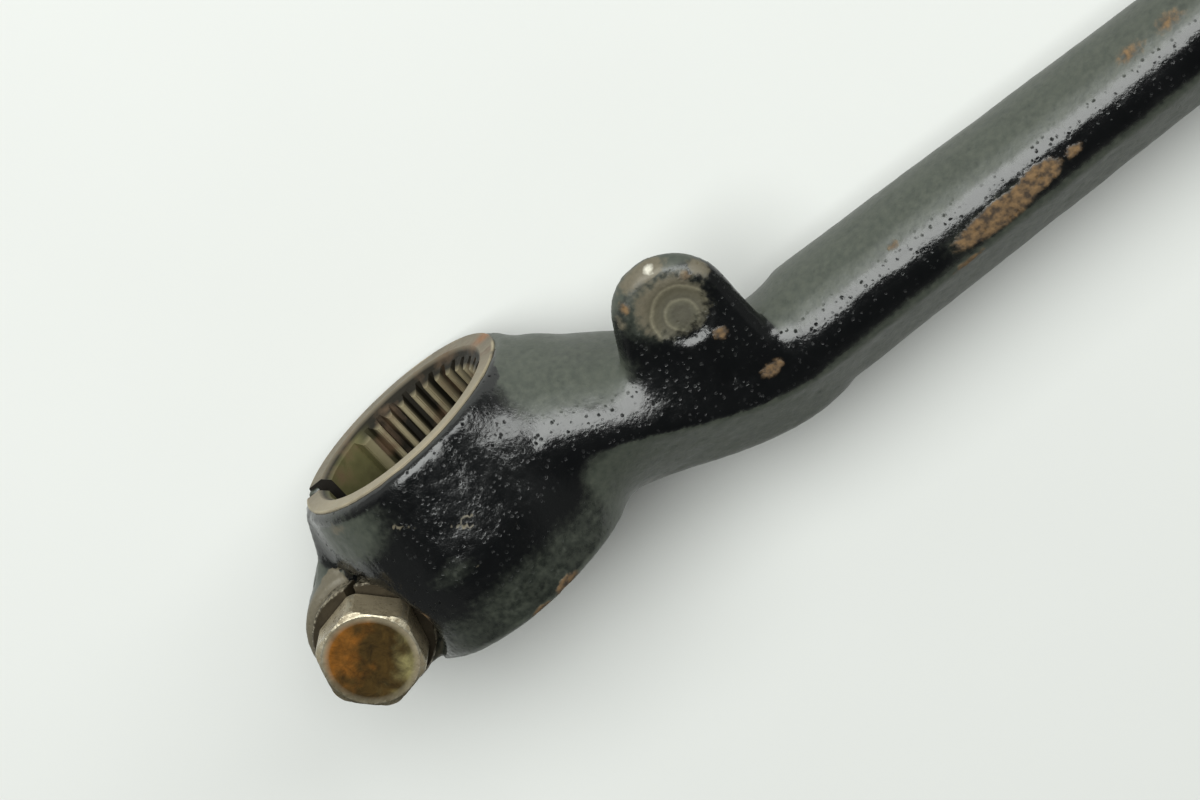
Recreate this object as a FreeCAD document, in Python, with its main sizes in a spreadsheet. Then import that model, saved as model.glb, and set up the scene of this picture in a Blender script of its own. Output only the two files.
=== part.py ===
import FreeCAD, Part
import math
import os
import Sketcher

# A rear brake pedal: one forged lever clamped on a serrated shaft by a pinch bolt with a split lock washer.
# The bore axis is Y, with the bare rim on +Y; the arm runs along +X to the foot pad; Z is up.
doc = FreeCAD.newDocument("brake_pedal")

# Driving dimensions in millimetres and degrees
DIMENSIONS = {
    # Hub: a forged barrel, flat and bare at the inboard rim, domed towards the outboard end
    "hub_length": 24.4,
    "hub_belly_radius": 17.8,
    "hub_belly_place": -2.0,
    "hub_rim_drop": 2.2,
    "hub_outboard_drop": 1.4,
    "hub_belly_round": 8.0,
    "hub_edge_round": 1.0,
    "rim_edge_bevel": 0.4,
    # Serrated bore: tooth spaces run from the tip radius to the root radius, with a plain relief by the slot
    "tooth_tip_radius": 10.5,
    "tooth_root_radius": 12.0,
    "tooth_count": 34,
    "tooth_space_mouth": 1.08,
    "tooth_space_root": 0.5,
    "relief_half_angle": 42.0,
    "bore_mouth_bevel": 0.9,
    # Clamp: the slit hub, and a round boss that is spot faced for the pinch bolt
    "slot_width": 3.0,
    "bolt_reach": 18.0,
    "bolt_place": -4.4,
    "boss_radius": 8.5,
    "boss_bottom": 11.5,
    "spot_radius": 8.6,
    "spot_height": 7.4,
    "bolt_hole_clearance": 0.25,
    "tapped_hole_clearance": 0.05,
    # Web: the thick corner between the inboard rim and the boss
    "web_start": 0.6,
    "web_waist": 6.2,
    "web_bearing": 20.0,
    "web_height": 5.0,
    # Pinch bolt and split lock washer
    "bolt_radius": 4.0,
    "bolt_end_bevel": 0.8,
    "bolt_end_recess": 0.6,
    "head_flats": 12.0,
    "head_height": 5.4,
    "head_bevel_angle": 25.0,
    "head_turn": 12.8,
    "washer_radius": 7.5,
    "washer_bore_clearance": 0.2,
    "washer_height": 2.0,
    "washer_gap": 1.3,
    "washer_gap_turn": 68.0,
    # Neck and arm: a round bar with one long flat, which steps outboard from the hub and tapers to the pad
    "root_station": 6.0,
    "root_place": 0.0,
    "root_inset": 0.4,
    "neck_station": 19.5,
    "neck_place": -2.0,
    "neck_radius": 10.9,
    "knee_station": 30.0,
    "knee_place": -7.6,
    "knee_radius": 9.2,
    "arm_station": 46.0,
    "arm_place": -10.0,
    "arm_radius": 8.0,
    "bend_station": 104.0,
    "bend_radius": 6.9,
    "drop_station": 160.0,
    "drop_height": 4.5,
    "drop_radius": 6.5,
    "end_station": 206.0,
    "end_radius": 4.0,
    "neck_flat_turn": 37.5,
    "neck_flat_half_angle": 34.0,
    "arm_flat_turn": 47.5,
    "arm_flat_half_angle": 24.5,
    # Stop lug: a round-ended tongue on the inboard side, with a worn round dimple in its top face
    "lug_station": 36.0,
    "lug_place": 3.9,
    "lug_tip_radius": 7.4,
    "lug_root_station": 24.0,
    "lug_root_place": -2.5,
    "lug_end_place": -9.6,
    "lug_top": 8.2,
    "lug_edge_bevel": 1.4,
    "lug_edge_height": 1.0,
    "lug_under_bevel": 3.0,
    "dimple_station": 36.9,
    "dimple_place": 3.5,
    "dimple_radius": 3.8,
    "dimple_depth": 0.5,
    # Foot pad: a plain rounded plate with cross grooves, level with the underside of the hub
    "pad_length": 30.0,
    "pad_width": 48.0,
    "pad_height": 9.0,
    "pad_corner_radius": 7.0,
    "pad_edge_round": 1.5,
    "pad_overlap": 6.0,
    "groove_width": 2.2,
    "groove_depth": 1.4,
    "groove_count": 4,
}

sheet = doc.addObject("Spreadsheet::Sheet", "dims")
for row, (alias, number) in enumerate(DIMENSIONS.items(), start=1):
    sheet.set("A%d" % row, alias)
    sheet.set("B%d" % row, str(number))
    sheet.setAlias("B%d" % row, alias)
doc.recompute()

UP = FreeCAD.Vector(0, 0, 1)
ORIGIN_POINT = (-1, 1)
START, END, CENTRE = range(1, 4)
NEAR = 1e-4


def new_body(label):
    body = doc.addObject("PartDesign::Body", label)
    body.Label = label
    return body


def origin_feature(body, role):
    return next(item for item in body.Origin.OriginFeatures if item.Role == role)


def new_sketch(body, name, role, offset=("0", "0", "0"), turn=None):
    """A sketch on one of the body's own planes, its origin moved and turned by expressions."""
    sketch = body.newObject("Sketcher::SketchObject", name)
    sketch.AttachmentSupport = (origin_feature(body, role), "")
    sketch.MapMode = "FlatFace"
    if turn:
        sketch.AttachmentOffset = FreeCAD.Placement(FreeCAD.Vector(), FreeCAD.Rotation(UP, 1.0))
        sketch.setExpression("AttachmentOffset.Rotation.Angle", turn)
    for axis, expression in zip("xyz", offset):
        if expression != "0":
            sketch.setExpression("AttachmentOffset.Base." + axis, expression)
    return sketch


def rule(sketch, *terms):
    return sketch.addConstraint(Sketcher.Constraint(*terms))


def tie(sketch, index, expression):
    name = "size%d" % index
    sketch.renameConstraint(index, name)
    sketch.setExpression("Constraints." + name, expression)


def size(sketch, expression, *terms):
    """One length in a sketch, tied to the sheet."""
    tie(sketch, rule(sketch, *terms, evaluate(expression)), expression)


def angle(sketch, degrees, *terms):
    """One angle in a sketch, tied to the sheet."""
    tie(sketch, rule(sketch, "Angle", *terms, math.radians(evaluate(degrees))), "(%s) * 1 deg" % degrees)


def polygon(sketch, points):
    """A closed chain of straight edges; returns their indexes."""
    edges = []
    for start, end in zip(points, points[1:] + points[:1]):
        line = Part.LineSegment(FreeCAD.Vector(*start, 0), FreeCAD.Vector(*end, 0))
        edges.append(sketch.addGeometry(line, False))
    for this, following in zip(edges, edges[1:] + edges[:1]):
        rule(sketch, "Coincident", this, END, following, START)
    return edges


def fix_corner(sketch, edge, across, along):
    """Places the first point of an edge by its two distances from the sketch's origin."""
    size(sketch, across, "DistanceX", *ORIGIN_POINT, edge, START)
    size(sketch, along, "DistanceY", *ORIGIN_POINT, edge, START)


def corner_outline(sketch, corners):
    """A closed outline with straight edges, from corners that are pairs of sheet expressions."""
    edges = polygon(sketch, [(evaluate(across), evaluate(along)) for across, along in corners])
    for edge, corner in zip(edges, corners):
        fix_corner(sketch, edge, *corner)
    return edges


def evaluate(expression):
    return float(sheet.evalExpression(expression))


def rectangle(sketch, left, right, low, high):
    return corner_outline(sketch, [(left, low), (right, low), (right, high), (left, high)])


def circle(sketch, radius):
    """A circle about the sketch's origin."""
    index = sketch.addGeometry(Part.Circle(FreeCAD.Vector(), UP, evaluate(radius)), False)
    rule(sketch, "Coincident", index, CENTRE, *ORIGIN_POINT)
    size(sketch, radius, "Radius", index)
    return index


def arc(centre, radius, start, end):
    round_edge = Part.Circle(FreeCAD.Vector(*centre, 0), UP, radius)
    return Part.ArcOfCircle(round_edge, math.radians(start), math.radians(end))


def flatted_round(sketch, radius, direction, half_angle):
    """A circle about the sketch's origin with one flat that faces the given direction."""
    middle = evaluate(direction)
    half = evaluate(half_angle)
    reach = evaluate(radius)
    round_edge = arc((0, 0), reach, middle + half, middle - half + 360)
    curve = sketch.addGeometry(round_edge, False)
    flat = sketch.addGeometry(Part.LineSegment(round_edge.EndPoint, round_edge.StartPoint), False)
    rule(sketch, "Coincident", curve, END, flat, START)
    rule(sketch, "Coincident", flat, END, curve, START)
    rule(sketch, "Coincident", curve, CENTRE, *ORIGIN_POINT)
    size(sketch, radius, "Radius", curve)
    size(sketch, "(%s) * cos((%s) * 1 deg)" % (radius, half_angle), "Distance", *ORIGIN_POINT, flat)
    angle(sketch, "(%s) + 90" % direction, flat)


def pad(body, name, sketch, length, slope=0.0, downwards=False):
    """A raised solid, straight or with its sides leaning by a slope."""
    feature = body.newObject("PartDesign::Pad", name)
    feature.Profile = sketch
    feature.TaperAngle = slope
    feature.Reversed = downwards
    feature.setExpression("Length", length)
    doc.recompute()
    return feature


def pocket(body, name, sketch, length, side="One side", upwards=False):
    """A cut, refused if it takes nothing away."""
    before = body.Shape.Volume
    feature = body.newObject("PartDesign::Pocket", name)
    feature.Profile = sketch
    feature.SideType = side
    feature.Reversed = upwards
    feature.setExpression("Length", length)
    doc.recompute()
    if body.Shape.Volume > before - NEAR:
        raise RuntimeError(name + " cuts nothing")
    return feature


def turned(body, kind, name, sketch, axis):
    feature = body.newObject("PartDesign::" + kind, name)
    feature.Profile = sketch
    feature.ReferenceAxis = (sketch, [axis])
    feature.Angle = 360
    doc.recompute()
    return feature


def edges_where(body, wanted):
    return ["Edge%d" % (i + 1) for i, edge in enumerate(body.Shape.Edges) if wanted(edge)]


def soften(body, kind, name, wanted, property_name, expression):
    """A fillet or a bevel on the edges that the test picks."""
    names = edges_where(body, wanted)
    if not names:
        raise RuntimeError(name + " finds no edge")
    last = body.Tip
    feature = body.newObject("PartDesign::" + kind, name)
    feature.Base = (last, names)
    feature.setExpression(property_name, expression)
    doc.recompute()
    return feature


def ring_at(radius, place):
    """Picks the round edges about the bore axis with this radius, at this place along it."""
    def wanted(edge):
        if not isinstance(edge.Curve, Part.Circle):
            return False
        same_radius = abs(edge.Curve.Radius - evaluate(radius)) < NEAR
        return same_radius and abs(edge.Curve.Center.y - evaluate(place)) < NEAR
    return wanted


def arcs_at_height(height):
    """Picks the round edges that lie level at this height."""
    def wanted(edge):
        box = edge.BoundBox
        level = max(abs(box.ZMin - evaluate(height)), abs(box.ZMax - evaluate(height))) < NEAR
        return level and isinstance(edge.Curve, Part.Circle)
    return wanted


def upright_at(corners):
    """Picks the straight upright edges that stand on the given corners."""
    def wanted(edge):
        box = edge.BoundBox
        upright = max(box.XLength, box.YLength) < NEAR < box.ZLength
        at_corner = any(math.hypot(box.XMin - x, box.YMin - y) < NEAR for x, y in corners)
        return upright and at_corner
    return wanted


# Lever, the forged hub: a barrel turned about the bore axis
lever = new_body("pedal_lever")
RIM_RADIUS = "(dims.hub_belly_radius - dims.hub_rim_drop)"
OUTBOARD_RADIUS = "(dims.hub_belly_radius - dims.hub_outboard_drop)"
barrel = new_sketch(lever, "barrel_profile", "XY_Plane")
corner_outline(barrel, [
    ("0", "-dims.hub_length / 2"),
    (OUTBOARD_RADIUS, "-dims.hub_length / 2"),
    ("dims.hub_belly_radius", "dims.hub_belly_place"),
    (RIM_RADIUS, "dims.hub_length / 2"),
    ("0", "dims.hub_length / 2"),
])
turned(lever, "Revolution", "hub", barrel, "V_Axis")
outboard_ring = ring_at(OUTBOARD_RADIUS, "-dims.hub_length / 2")
belly_ring = ring_at("dims.hub_belly_radius", "dims.hub_belly_place")
rim_ring = ring_at(RIM_RADIUS, "dims.hub_length / 2")
soften(lever, "Fillet", "outboard_edge", outboard_ring, "Radius", "dims.hub_edge_round")
soften(lever, "Fillet", "belly", belly_ring, "Radius", "dims.hub_belly_round")
soften(lever, "Chamfer", "rim_edge", rim_ring, "Size", "dims.rim_edge_bevel")

# Lever, neck and arm: one bar lofted through round sections that each carry the long flat
PAD_LEVEL = "-(dims.hub_belly_radius - dims.pad_height / 2)"
SECTIONS = [
    ("root", "dims.hub_length / 2 - dims.root_inset", "dims.root_place", "0", "neck"),
    ("neck", "dims.neck_radius", "dims.neck_place", "0", "neck"),
    ("knee", "dims.knee_radius", "dims.knee_place", "0", "neck"),
    ("arm", "dims.arm_radius", "dims.arm_place", "0", "arm"),
    ("bend", "dims.bend_radius", "dims.arm_place", "0", "arm"),
    ("drop", "dims.drop_radius", "dims.arm_place", "-dims.drop_height", "arm"),
    ("end", "dims.end_radius", "dims.arm_place", PAD_LEVEL, "arm"),
]
sections = []
for name, radius, place, height, flat in SECTIONS:
    section = new_sketch(lever, name + "_section", "YZ_Plane", (place, height, "dims.%s_station" % name))
    flat_direction = "90 + dims.%s_flat_turn" % flat
    flatted_round(section, radius, flat_direction, "dims.%s_flat_half_angle" % flat)
    sections.append(section)
doc.recompute()
RUNS = [("neck", 0, 3), ("arm", 3, 4), ("forearm", 4, 6)]
for name, first, last in RUNS:
    run = lever.newObject("PartDesign::AdditiveLoft", name)
    run.Profile = sections[first]
    run.Sections = sections[first + 1:last + 1]
    doc.recompute()

# Lever, clamp boss: a round post along the bolt, cut level with the outboard end of the hub
boss_outline = new_sketch(
    lever, "boss_outline", "XY_Plane", ("-dims.bolt_reach", "dims.bolt_place", "-dims.boss_bottom")
)
BOSS_CUT = "(dims.hub_length / 2 + dims.bolt_place)"
flatted_round(boss_outline, "dims.boss_radius", "270", "acos(%s / dims.boss_radius) / 1 deg" % BOSS_CUT)
pad(lever, "clamp_boss", boss_outline, "dims.boss_bottom + dims.spot_height")

# Lever, web: it fills the corner between the rim and the boss on both sides of the slot
web_outline = new_sketch(lever, "web_outline", "XY_Plane", ("0", "0", "-dims.web_height"))
WEB_START = "dims.hub_length / 2 - dims.web_start"
BOSS_SIDE = "dims.bolt_reach + dims.boss_radius * sin(dims.web_bearing * 1 deg)"
corner_outline(web_outline, [
    ("-dims.tooth_root_radius", WEB_START),
    ("dims.rim_edge_bevel - " + RIM_RADIUS, WEB_START),
    ("-dims.bolt_reach", "dims.web_waist"),
    ("-(%s)" % BOSS_SIDE, "dims.bolt_place + dims.boss_radius * cos(dims.web_bearing * 1 deg)"),
    ("-dims.bolt_reach", "dims.bolt_place"),
    ("-dims.tooth_root_radius", "dims.bolt_place"),
])
pad(lever, "clamp_web", web_outline, "dims.web_height * 2")

# Lever, stop lug: a tongue with a round tip, bevelled above and tapered below
LUG_LEAN = 155.0
INWARD_SLOPE = -45.0


def tongue(name, height):
    """The lug's outline at a height: a round tip, tangent to two sides that run into the bar."""
    sketch = new_sketch(lever, name, "XY_Plane", ("0", "0", height))
    centre = (evaluate("dims.lug_station"), evaluate("dims.lug_place"))
    radius = evaluate("dims.lug_tip_radius")
    root_left = FreeCAD.Vector(evaluate("dims.lug_root_station"), evaluate("dims.lug_root_place"), 0)
    root_right = FreeCAD.Vector(centre[0] + radius, evaluate("dims.lug_end_place"), 0)
    tip_arc = arc(centre, radius, 0.0, LUG_LEAN)
    tip = sketch.addGeometry(tip_arc, False)
    left = sketch.addGeometry(Part.LineSegment(tip_arc.EndPoint, root_left), False)
    root = sketch.addGeometry(Part.LineSegment(root_left, root_right), False)
    right = sketch.addGeometry(Part.LineSegment(root_right, tip_arc.StartPoint), False)
    rule(sketch, "Tangent", tip, END, left, START)
    rule(sketch, "Coincident", left, END, root, START)
    rule(sketch, "Coincident", root, END, right, START)
    rule(sketch, "Tangent", right, END, tip, START)
    rule(sketch, "Vertical", right)
    size(sketch, "dims.lug_tip_radius", "Radius", tip)
    size(sketch, "dims.lug_station", "DistanceX", *ORIGIN_POINT, tip, CENTRE)
    size(sketch, "dims.lug_place", "DistanceY", *ORIGIN_POINT, tip, CENTRE)
    fix_corner(sketch, root, "dims.lug_root_station", "dims.lug_root_place")
    size(sketch, "dims.lug_end_place", "DistanceY", *ORIGIN_POINT, right, START)
    return sketch


CAP_LEVEL = "dims.lug_top - dims.lug_edge_bevel"
EDGE_LEVEL = CAP_LEVEL + " - dims.lug_edge_height"
pad(lever, "lug_edge", tongue("lug_outline", EDGE_LEVEL), "dims.lug_edge_height")
pad(lever, "lug_cap", tongue("lug_cap_outline", CAP_LEVEL), "dims.lug_edge_bevel", INWARD_SLOPE)
keel_outline = tongue("lug_keel_outline", EDGE_LEVEL)
pad(lever, "lug_keel", keel_outline, "dims.lug_under_bevel", INWARD_SLOPE, downwards=True)

# Lever, foot pad: a plate with round corners, standing on the same level as the belly of the hub
PAD_CENTRE = "(dims.end_station - dims.pad_overlap + dims.pad_length / 2)"
PAD_UNDERSIDE = "-dims.hub_belly_radius"
pad_outline = new_sketch(lever, "pad_outline", "XY_Plane", (PAD_CENTRE, "dims.arm_place", PAD_UNDERSIDE))
rectangle(
    pad_outline, "-dims.pad_length / 2", "dims.pad_length / 2", "-dims.pad_width / 2", "dims.pad_width / 2"
)
pad(lever, "foot_pad", pad_outline, "dims.pad_height")
pad_left = evaluate("dims.end_station - dims.pad_overlap")
pad_right = pad_left + evaluate("dims.pad_length")
pad_low = evaluate("dims.arm_place - dims.pad_width / 2")
pad_high = evaluate("dims.arm_place + dims.pad_width / 2")
pad_corners = [(x, y) for x in (pad_left, pad_right) for y in (pad_low, pad_high)]
soften(lever, "Fillet", "pad_corners", upright_at(pad_corners), "Radius", "dims.pad_corner_radius")
PAD_TOP = "(dims.pad_height - dims.hub_belly_radius)"
soften(lever, "Fillet", "pad_top_edge", arcs_at_height(PAD_TOP), "Radius", "dims.pad_edge_round")
soften(lever, "Fillet", "pad_under_edge", arcs_at_height(PAD_UNDERSIDE), "Radius", "dims.pad_edge_round")

GROOVE_PITCH = "(dims.pad_length / (dims.groove_count + 1))"
groove_outline = new_sketch(
    lever, "groove_outline", "XY_Plane",
    ("dims.end_station - dims.pad_overlap + " + GROOVE_PITCH, "dims.arm_place", PAD_TOP)
)
GROOVE_SIDE = "dims.groove_width / 2"
rectangle(groove_outline, "-" + GROOVE_SIDE, GROOVE_SIDE, "-dims.pad_width", "dims.pad_width")
first_groove = pocket(lever, "first_groove", groove_outline, "dims.groove_depth")
grooves = lever.newObject("PartDesign::LinearPattern", "tread_grooves")
grooves.Originals = [first_groove]
grooves.Direction = (origin_feature(lever, "X_Axis"), [""])
grooves.setExpression("Occurrences", "dims.groove_count")
grooves.setExpression("Length", "(dims.groove_count - 1) * " + GROOVE_PITCH)
lever.Tip = grooves
doc.recompute()

# Lever, bore: the tooth tips' circle, the plain relief by the slot, and the tooth spaces round the rest
CUT_LENGTH = "dims.hub_length * 2"
TOOTH_PITCH = "(360 / dims.tooth_count)"
SIDE_SPACES = "floor((180 - dims.relief_half_angle) / %s - 0.5)" % TOOTH_PITCH
bore = new_sketch(lever, "bore_circle", "XZ_Plane")
circle(bore, "dims.tooth_tip_radius")
pocket(lever, "bore_tips", bore, CUT_LENGTH, side="Symmetric")

relief = new_sketch(lever, "relief_sector", "XZ_Plane")
half = evaluate("dims.relief_half_angle")
relief_arc = arc((0, 0), evaluate("dims.tooth_root_radius"), 180 - half, 180 + half)
curve = relief.addGeometry(relief_arc, False)
lower = relief.addGeometry(Part.LineSegment(relief_arc.EndPoint, FreeCAD.Vector()), False)
upper = relief.addGeometry(Part.LineSegment(FreeCAD.Vector(), relief_arc.StartPoint), False)
rule(relief, "Coincident", curve, END, lower, START)
rule(relief, "Coincident", lower, END, upper, START)
rule(relief, "Coincident", upper, END, curve, START)
rule(relief, "Coincident", curve, CENTRE, *ORIGIN_POINT)
rule(relief, "Coincident", upper, START, *ORIGIN_POINT)
size(relief, "dims.tooth_root_radius", "Radius", curve)
angle(relief, "180 - dims.relief_half_angle", upper)
angle(relief, "dims.relief_half_angle", lower)
pocket(lever, "bore_relief", relief, CUT_LENGTH, side="Symmetric")

space = new_sketch(lever, "tooth_space", "XZ_Plane", turn="%s * %s * 1 deg" % (SIDE_SPACES, TOOTH_PITCH))
corner_outline(space, [
    ("dims.tooth_tip_radius - dims.tooth_space_root", "-dims.tooth_space_mouth / 2"),
    ("dims.tooth_root_radius", "-dims.tooth_space_root / 2"),
    ("dims.tooth_root_radius", "dims.tooth_space_root / 2"),
    ("dims.tooth_tip_radius - dims.tooth_space_root", "dims.tooth_space_mouth / 2"),
])
first_space = pocket(lever, "first_tooth_space", space, CUT_LENGTH, side="Symmetric")
teeth = lever.newObject("PartDesign::PolarPattern", "tooth_spaces")
teeth.Originals = [first_space]
teeth.Axis = (origin_feature(lever, "Y_Axis"), [""])
teeth.Mode = "Extent"
teeth.setExpression("Occurrences", "2 * %s + 1" % SIDE_SPACES)
teeth.setExpression("Angle", "2 * %s * %s" % (SIDE_SPACES, TOOTH_PITCH))
lever.Tip = teeth
doc.recompute()

mouth = new_sketch(lever, "mouth_bevels", "XY_Plane")
MOUTH_RADIUS = "(dims.tooth_root_radius + dims.bore_mouth_bevel)"
for end in ("dims.hub_length / 2", "-dims.hub_length / 2"):
    inward = "-" if end.startswith("dims") else "+"
    deep = "%s %s %s" % (end, inward, MOUTH_RADIUS)
    corner_outline(mouth, [("0", end), (MOUTH_RADIUS, end), ("0", deep)])
turned(lever, "Groove", "bore_mouths", mouth, "V_Axis")

# Lever, clamp: the slit through the hub and the boss, the spot face, and the bolt's two holes
slot = new_sketch(lever, "slot_outline", "XZ_Plane")
rectangle(
    slot, "-(dims.bolt_reach + dims.boss_radius * 2)", "-dims.tooth_tip_radius / 2",
    "-dims.slot_width / 2", "dims.slot_width / 2"
)
pocket(lever, "slot", slot, CUT_LENGTH, side="Symmetric")
ON_SPOT_FACE = ("-dims.bolt_reach", "dims.bolt_place", "dims.spot_height")
spot = new_sketch(lever, "spot_circle", "XY_Plane", ON_SPOT_FACE)
circle(spot, "dims.spot_radius")
pocket(lever, "spot_face", spot, "dims.hub_belly_radius", upwards=True)
free_hole = new_sketch(lever, "free_hole", "XY_Plane", ON_SPOT_FACE)
circle(free_hole, "dims.bolt_radius + dims.bolt_hole_clearance")
pocket(lever, "bolt_hole", free_hole, "dims.spot_height")
tapped = new_sketch(lever, "tapped_hole", "XY_Plane", ("-dims.bolt_reach", "dims.bolt_place", "0"))
circle(tapped, "dims.bolt_radius + dims.tapped_hole_clearance")
pocket(lever, "tapped_bolt_hole", tapped, "dims.hub_belly_radius")

# Lever, stop lug: the dimple that the stop screw has worn
ON_LUG = ("dims.dimple_station", "dims.dimple_place", "dims.lug_top")
dimple = new_sketch(lever, "dimple_circle", "XY_Plane", ON_LUG)
circle(dimple, "dims.dimple_radius")
pocket(lever, "stop_dimple", dimple, "dims.dimple_depth")

# Pinch bolt: its own axis is Z, and its head stands on the lock washer
bolt = new_body("pinch_bolt")
shank = new_sketch(bolt, "shank_profile", "XZ_Plane")
SHANK = "(dims.washer_height + dims.spot_height + dims.boss_bottom - dims.bolt_end_recess)"
corner_outline(shank, [
    ("0", "dims.head_height / 2"),
    ("0", "-" + SHANK),
    ("dims.bolt_radius - dims.bolt_end_bevel", "-" + SHANK),
    ("dims.bolt_radius", "dims.bolt_end_bevel - " + SHANK),
    ("dims.bolt_radius", "dims.head_height / 2"),
])
turned(bolt, "Revolution", "shank", shank, "V_Axis")
HEAD_CORNER = "(dims.head_flats / sqrt(3))"
HEX_SIDES = 6
hexagon = new_sketch(bolt, "head_outline", "XY_Plane")
bearings = ["%d deg" % (360 / HEX_SIDES * corner) for corner in range(HEX_SIDES)]
corner_outline(hexagon, [
    ("%s * cos(%s)" % (HEAD_CORNER, turn), "%s * sin(%s)" % (HEAD_CORNER, turn)) for turn in bearings
])
pad(bolt, "head", hexagon, "dims.head_height")
head_bevel = new_sketch(bolt, "head_bevel_profile", "XZ_Plane")
corner_outline(head_bevel, [
    ("dims.head_flats / 2", "dims.head_height"),
    ("dims.head_flats", "dims.head_height"),
    ("dims.head_flats", "dims.head_height - dims.head_flats / 2 * tan(dims.head_bevel_angle * 1 deg)"),
])
turned(bolt, "Groove", "head_bevel", head_bevel, "V_Axis")

# Lock washer: a flat ring with one split, pressed flat between the spot face and the head
washer = new_body("lock_washer")
ring = new_sketch(washer, "washer_outline", "XY_Plane")
circle(ring, "dims.washer_radius")
circle(ring, "dims.bolt_radius + dims.washer_bore_clearance")
pad(washer, "washer_ring", ring, "dims.washer_height")
split = new_sketch(washer, "split_outline", "XY_Plane", ("0", "0", "dims.washer_height"))
rectangle(split, "0", "dims.washer_radius * 2", "-dims.washer_gap / 2", "dims.washer_gap / 2")
pocket(washer, "washer_split", split, "dims.washer_height")


def stand_on_bolt_axis(body, height, turn):
    """Places a body on the bolt's axis at a height, turned about that axis."""
    body.Placement = FreeCAD.Placement(FreeCAD.Vector(), FreeCAD.Rotation(UP, 1.0))
    body.setExpression("Placement.Base.x", "-dims.bolt_reach")
    body.setExpression("Placement.Base.y", "dims.bolt_place")
    body.setExpression("Placement.Base.z", height)
    body.setExpression("Placement.Rotation.Angle", turn)


stand_on_bolt_axis(washer, "dims.spot_height", "dims.washer_gap_turn * 1 deg")
stand_on_bolt_axis(bolt, "dims.spot_height + dims.washer_height", "dims.head_turn * 1 deg")
doc.recompute()

# Every feature has to have worked before anything is written
for item in doc.Objects:
    if "Invalid" in item.State or "Error" in item.State:
        raise RuntimeError(item.Name + " failed")
os.makedirs("parts", exist_ok=True)
for body in (lever, bolt, washer):
    if body.Shape.isNull() or not body.Shape.isValid() or len(body.Shape.Solids) != 1:
        raise RuntimeError(body.Label + " is not one valid solid")
for body in (lever, bolt, washer):
    body.Shape.exportStep("parts/%s.step" % body.Label)
    box = body.Shape.BoundBox
    print(body.Label, "volume %.1f" % body.Shape.Volume, "box", box)
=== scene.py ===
import math

import bmesh
import bpy
import numpy as np
from mathutils import Matrix, Vector, noise


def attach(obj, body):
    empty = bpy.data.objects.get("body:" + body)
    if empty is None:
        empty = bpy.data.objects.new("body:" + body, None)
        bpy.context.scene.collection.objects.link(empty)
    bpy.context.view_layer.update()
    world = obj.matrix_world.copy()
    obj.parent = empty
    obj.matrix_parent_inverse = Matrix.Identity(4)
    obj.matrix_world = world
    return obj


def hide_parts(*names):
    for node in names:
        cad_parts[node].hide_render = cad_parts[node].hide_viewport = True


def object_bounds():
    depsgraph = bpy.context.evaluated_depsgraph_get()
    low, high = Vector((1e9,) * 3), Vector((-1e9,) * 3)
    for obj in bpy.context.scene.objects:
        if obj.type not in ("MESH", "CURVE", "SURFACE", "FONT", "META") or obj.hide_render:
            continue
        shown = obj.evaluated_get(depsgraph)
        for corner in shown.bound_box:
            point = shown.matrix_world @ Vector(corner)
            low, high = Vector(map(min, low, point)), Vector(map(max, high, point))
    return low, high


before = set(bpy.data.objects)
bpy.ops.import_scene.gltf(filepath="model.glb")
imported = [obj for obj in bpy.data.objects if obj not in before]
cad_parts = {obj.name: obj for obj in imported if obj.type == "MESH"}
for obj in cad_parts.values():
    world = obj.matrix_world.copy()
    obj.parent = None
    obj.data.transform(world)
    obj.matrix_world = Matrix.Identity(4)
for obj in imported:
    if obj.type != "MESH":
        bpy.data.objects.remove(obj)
cad_box = [list(corner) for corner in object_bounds()]
MM = 0.001

# Forged lever
# One steel forging: the barrel hub that is slit for the clamp, the cranked neck with its stop lug, the arm
# and the pad. It was drop forged, which leaves round inside corners and a lumpy skin, and then brushed with
# thick black enamel.
HUB_HALF_LENGTH = 12.2 * MM
HUB_BELLY_RADIUS = 17.8 * MM
BOLT_AXIS = Vector((-18.0 * MM, -4.4 * MM, 0.0))
SPOT_RADIUS = 8.6 * MM
SPOT_HEIGHT = 7.4 * MM
SLOT_WIDTH = 3.0 * MM
DIMPLE = Vector((36.9 * MM, 3.5 * MM, 7.7 * MM))
DIMPLE_RADIUS = 3.8 * MM
PAD_START = 199.0 * MM
LINER_SEAT_RADIUS = 13.6 * MM
FACING_DEPTH = 0.25 * MM
OUTBOARD_FACING_RADIUS = 15.0 * MM
SKIN_GRID = 0.5 * MM
WELD = 0.001 * MM


def new_piece(name, mesh):
    """Puts a mesh in the scene as one object at the origin."""
    piece = bpy.data.objects.new(name, mesh)
    bpy.context.scene.collection.objects.link(piece)
    return piece


def turned_mesh(name, profile, steps):
    """A closed solid turned about the Y axis from (radius, place) pairs; radius 0 closes it on the axis."""
    made = bmesh.new()
    rings = []
    for radius, place in profile:
        if radius == 0.0:
            rings.append([made.verts.new((0.0, place, 0.0))] * steps)
            continue
        turns = [2.0 * math.pi * step / steps for step in range(steps)]
        rings.append([made.verts.new((radius * math.cos(t), place, radius * math.sin(t))) for t in turns])
    for first, second in zip(rings, rings[1:]):
        for step in range(steps):
            after = (step + 1) % steps
            corners = [first[step], first[after], second[after], second[step]]
            made.faces.new(list(dict.fromkeys(corners)))
    bmesh.ops.recalc_face_normals(made, faces=made.faces)
    mesh = bpy.data.meshes.new(name)
    made.to_mesh(mesh)
    made.free()
    return mesh


forging = new_piece("forged_lever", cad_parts["pedal_lever"].data.copy())
merged = bmesh.new()
merged.from_mesh(forging.data)
bmesh.ops.remove_doubles(merged, verts=merged.verts, dist=WELD)
merged.to_mesh(forging.data)
merged.free()

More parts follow.
